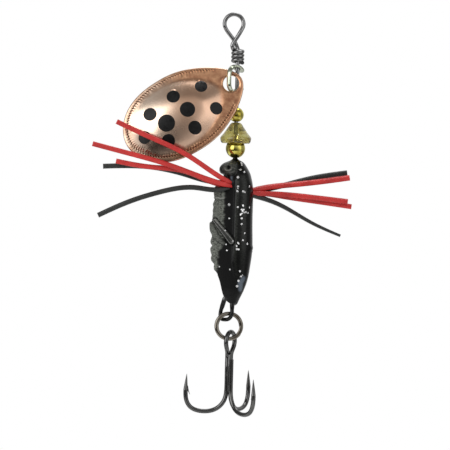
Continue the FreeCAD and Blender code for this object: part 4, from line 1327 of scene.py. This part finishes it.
def make_body(material):
    """The casting, as one closed skin whose relief is the same on both flanks."""
    neck_rows, rows, foot_rows = BODY_ROWS
    levels = np.concatenate([np.linspace(BODY_STATIONS[0][0], BODY_CROWN, neck_rows)[:-1],
                             np.linspace(BODY_CROWN, BODY_FOOT, rows),
                             np.linspace(BODY_FOOT, BODY_STATIONS[-1][0], foot_rows)[1:]])
    smooth = spline(BODY_STATIONS, 900)
    smooth = smooth[np.argsort(smooth[:, 0])]
    left, right, breadth = [np.interp(levels, smooth[:, 0], smooth[:, k])[:, None]
                            for k in (1, 2, 3)]
    half = (right - left) / 2
    depth = np.sqrt(np.maximum(half ** 2 - (math.sin(BODY_TURN) * breadth) ** 2, 0.02))
    depth = depth / math.cos(BODY_TURN)
    centre = (right + left) / 2 / math.cos(BODY_TURN)
    angles = (np.arange(BODY_COLUMNS) * 2 * math.pi / BODY_COLUMNS)[None, :]
    squared = smooth_step(26.8, 27.6, levels)[:, None]   # round at the neck, squarer below it
    back_share, flank_share = [
        squared * np.sign(plain) * np.abs(plain) ** (2 / BODY_SQUARENESS) + (1 - squared) * plain
        for plain in (np.cos(angles), np.sin(angles))]
    along_back = centre + depth * back_share
    along_flank = breadth * flank_share
    z = -levels[:, None] + 0 * along_back
    x = math.cos(BODY_TURN) * along_back - math.sin(BODY_TURN) * np.abs(along_flank)
    relief, masks = carving(x, z, left, flank_share)
    relief = relief * smooth_step(26.9, 27.4, levels)[:, None]
    relief = relief * (1 - smooth_step(54.6, 55.6, levels))[:, None]
    normal_back = np.cos(angles) / depth
    normal_flank = np.sin(angles) / breadth
    length = np.hypot(normal_back, normal_flank)
    along_back = along_back + relief * normal_back / length
    along_flank = along_flank + relief * normal_flank / length
    points = (along_back[..., None] * BACK + along_flank[..., None] * FLANK
              + z[..., None] * UP).reshape(-1, 3)
    faces = grid_faces(len(levels), BODY_COLUMNS)
    faces.append(tuple(range(BODY_COLUMNS)))
    faces.append(tuple(reversed(range(len(points) - BODY_COLUMNS, len(points)))))
    shape = Shape()
    shape.add(points, faces)
    body = shape.piece("insect_casting", "shaft", [material],
                       replaces=["insect_body"], sharp=75)
    for name, values in masks.items():
        set_attribute(body, name, values)
    return body


# Flakes on the near side: place across, height and size as a share of FLAKE_SIZE.
FLAKES = [
    (1.2, -26.95, 1.0), (1.25, -27.3, 1.0), (1.3, -27.7, 0.8), (1.05, -28.6, 1.1),
    (1.9, -29.1, 0.9), (0.65, -30.2, 1.1), (0.68, -32.0, 0.9), (0.66, -32.4, 0.7),
    (0.6, -32.95, 1.1), (1.75, -32.95, 1.0), (2.1, -33.1, 0.9), (3.0, -31.95, 0.9),
    (-1.0, -35.7, 1.2), (0.75, -36.1, 0.9), (1.75, -35.8, 1.0), (3.1, -36.15, 0.9),
    (1.55, -36.6, 0.9), (1.95, -36.6, 0.8), (1.75, -36.95, 0.9), (2.05, -37.15, 0.8),
    (2.4, -37.1, 0.9), (2.85, -37.25, 0.9), (1.3, -37.6, 1.0), (1.6, -37.4, 0.8),
    (1.6, -38.35, 1.0), (1.6, -39.5, 0.9), (-0.9, -38.4, 0.8), (-1.6, -40.9, 0.8),
    (2.3, -41.3, 0.9), (1.95, -42.7, 0.9), (2.8, -43.4, 0.9), (-0.05, -43.0, 1.0),
    (-1.4, -43.6, 0.8), (1.05, -43.4, 0.9), (0.7, -43.9, 0.9), (0.75, -44.5, 1.0),
    (1.15, -44.55, 0.9), (-1.2, -44.8, 0.7), (-2.6, -48.1, 0.6), (-0.5, -48.6, 0.7),
    (1.5, -48.9, 1.0), (1.75, -49.95, 0.9), (2.0, -49.7, 0.8), (1.3, -50.8, 1.1),
    (1.0, -51.9, 1.2), (0.95, -43.2, 0.7),
]
FLAKE_SIZE = 0.25
FAR_FLAKES = 46
FLAKE_CORNERS = 6


def make_flakes(body, material):
    """Silver flakes stuck in the enamel, denser towards the insect's back."""
    chance = random.Random(7)
    spots = [(x, z, size, -1) for x, z, size in FLAKES]
    while len(spots) < len(FLAKES) + FAR_FLAKES:
        level = -chance.uniform(28, 53)
        spots.append((chance.gauss(1.6, 1.1), level, chance.uniform(0.7, 1.1), 1))
    count = FLAKE_CORNERS
    shape = Shape()
    for x, level, size, side in spots:
        start = Vector((x, side * 20, level)) * MM
        found, place, normal, _ = body.ray_cast(start, Vector((0, -side, 0)))
        if not found or abs(normal.y) < 0.12:
            continue
        place = np.array(place) / MM
        tilt = unit(unit(normal) + 0.25 * vec(*[chance.gauss(0, 1) for _ in range(3)]))
        one = unit(np.cross(tilt, UP + 0.01))
        other = np.cross(tilt, one)
        spin = chance.uniform(0, math.pi)
        corners = []
        for corner in range(count):
            angle = spin + corner * 2 * math.pi / count
            reach = FLAKE_SIZE * size * chance.uniform(0.85, 1.1)
            corners.append(reach * (math.cos(angle) * one + math.sin(angle) * other))
        points = [place + height * tilt + share * corner
                  for height, share in ((0.05, 0.9), (0.02, 1.0), (-0.08, 1.0))
                  for corner in corners]
        faces = [tuple(range(count)), tuple(reversed(range(2 * count, 3 * count)))]
        for ring in (0, count):
            faces += [(ring + k, ring + count + k, ring + count + (k + 1) % count,
                       ring + (k + 1) % count) for k in range(count)]
        shape.add(points, faces)
    shape.piece("glitter_flakes", "shaft", [material], sharp=25)


# ---------------------------------------------------------------- scene

# Soft square lamps: place, size and power.
LAMPS = {
    "key": ((-262, -262, 50), 340, 0.85),
    "fill": ((320, -240, 60), 300, 0.25),
    "top": ((40, 60, 260), 160, 0.4),
}
LAMP_TARGET = (-2, 0, -40)


def make_lights():
    """Soft lamps that look at the middle of the lure."""
    for name, (place, size, power) in LAMPS.items():
        lamp = bpy.data.lights.new(name, "AREA")
        lamp.shape = "SQUARE"
        lamp.size = size * MM
        lamp.energy = power
        made = added(name, lamp)
        made.location = Vector(place) * MM
        aim = Vector(LAMP_TARGET) * MM - made.location
        made.rotation_euler = aim.to_track_quat("-Z", "Y").to_euler()


# In reflections the studio is dark in front and below: greys from its far side (0) to the
# middle of the dark patch (1).
DARK_SIDE = (-0.3, -1.0, -0.75)
STUDIO_GREYS = [(0.06, 255), (0.2, 160), (0.5, 150), (0.62, 225), (0.74, 205), (0.84, 160),
                (0.93, 90), (1.0, 24)]
SOFT_LIGHT = 0.6


def make_world():
    """White to the camera, softer as light, and a studio with dark and bright parts in gloss."""
    world = bpy.data.worlds.new("studio")
    bpy.context.scene.world = world
    world.use_nodes = True
    world.node_tree.nodes.clear()
    nodes = Tree(world.node_tree)
    rays = nodes.node("LightPath").outputs
    direction = nodes.node("TexCoord").outputs["Generated"]
    towards = nodes.node("VectorMath", {0: direction, 1: unit(DARK_SIDE)},
                         operation="DOT_PRODUCT").outputs["Value"]
    studio = nodes.ramp(nodes.math("MULTIPLY_ADD", towards, 0.5, 0.5), STUDIO_GREYS)
    lit = nodes.either(rays["Is Glossy Ray"], nodes.light("Background", SOFT_LIGHT),
                       nodes.light("Background", 1.0, studio))
    seen = nodes.math("MAXIMUM", rays["Is Camera Ray"], rays["Is Transmission Ray"])
    nodes.node("OutputWorld", {"Surface": nodes.either(seen, lit,
                                                       nodes.light("Background", 1.0))})


FLOOR_LEVEL = -135.0
SHADOW_REACH = (90.0, 200.0)   # the floor turns pure white between these distances


def make_floor():
    """A pale round floor below the hanging lure, that keeps its soft shadow."""
    mesh = bpy.data.meshes.new("floor")
    rim = circle(SHADOW_REACH[1], 96)
    mesh.from_pydata([(x * MM, y * MM, FLOOR_LEVEL * MM) for x, y in rim], [], [range(len(rim))])
    nodes = Nodes("floor_paper")
    nodes.set(Base_Color=rgba(245), Roughness=0.9)
    flat = nodes.node("VectorMath", {0: nodes.place, 1: (1, 1, 0)}, operation="MULTIPLY")
    away = nodes.node("VectorMath", {0: flat.outputs[0]}, operation="LENGTH").outputs["Value"]
    fade = nodes.ranged(away, *(reach * MM for reach in SHADOW_REACH), 0.75,
                        interpolation_type="SMOOTHSTEP")
    share = nodes.math("MULTIPLY", nodes.node("LightPath").outputs["Is Camera Ray"], fade)
    paper = nodes.either(share, nodes.shader.outputs[0], nodes.light("Emission", 1.0))
    nodes.put(nodes.tree.nodes["Material Output"].inputs["Surface"], paper)
    mesh.materials.append(nodes.material)
    added("floor", mesh)


CAMERA_DISTANCE = 1000.0
CAMERA_LENS = 400.0
CAMERA_SHIFT = vec(0.75, 0, -2.187)
CAMERA_ROLL = math.radians(1.44)


def make_camera():
    """Level with the lure and in front of it, with the lure leaning a little to the right."""
    camera = bpy.data.cameras.new("camera")
    camera.lens = CAMERA_LENS
    camera.sensor_width = 36
    camera.clip_start = 0.01
    camera.clip_end = 20
    made = added("camera", camera)
    middle = (np.array(CAD_BOX[0]) + np.array(CAD_BOX[1])) / 2 / MM + CAMERA_SHIFT
    made.location = Vector((middle[0], -CAMERA_DISTANCE, middle[2])) * MM
    made.rotation_euler = (math.pi / 2, -CAMERA_ROLL, 0)
    bpy.context.scene.camera = made
    bpy.context.scene.view_settings.view_transform = "Standard"


make_world()
make_lights()
make_floor()
make_camera()

make_shaft_wire(steel_wire())
make_treble_hook(metal("black_nickel").material)
rubbers = {"red": rubber("red_rubber", (196, 44, 40), (166, 26, 24)),
           "black": rubber("black_rubber", (40, 42, 40), (24, 26, 24))}
for leg_place, (leg_name, leg_route) in enumerate(LEGS.items()):
    make_leg(leg_name, leg_place, *leg_route, rubbers[leg_name.split("_")[1]])
brass = metal("gold_bead").material
make_round_bead("upper_bead", 3.0, UPPER_BEAD_CENTRE, brass)
make_round_bead("lower_bead", 3.9, LOWER_BEAD_CENTRE, brass)
make_bell(olive_glass())
make_blade(copper(), dot_paint())
make_clevis(metal("nickel").material)
make_split_ring(metal("ring_steel").material)
casting = make_body(enamel())
bpy.context.view_layer.update()
make_flakes(casting, glitter())
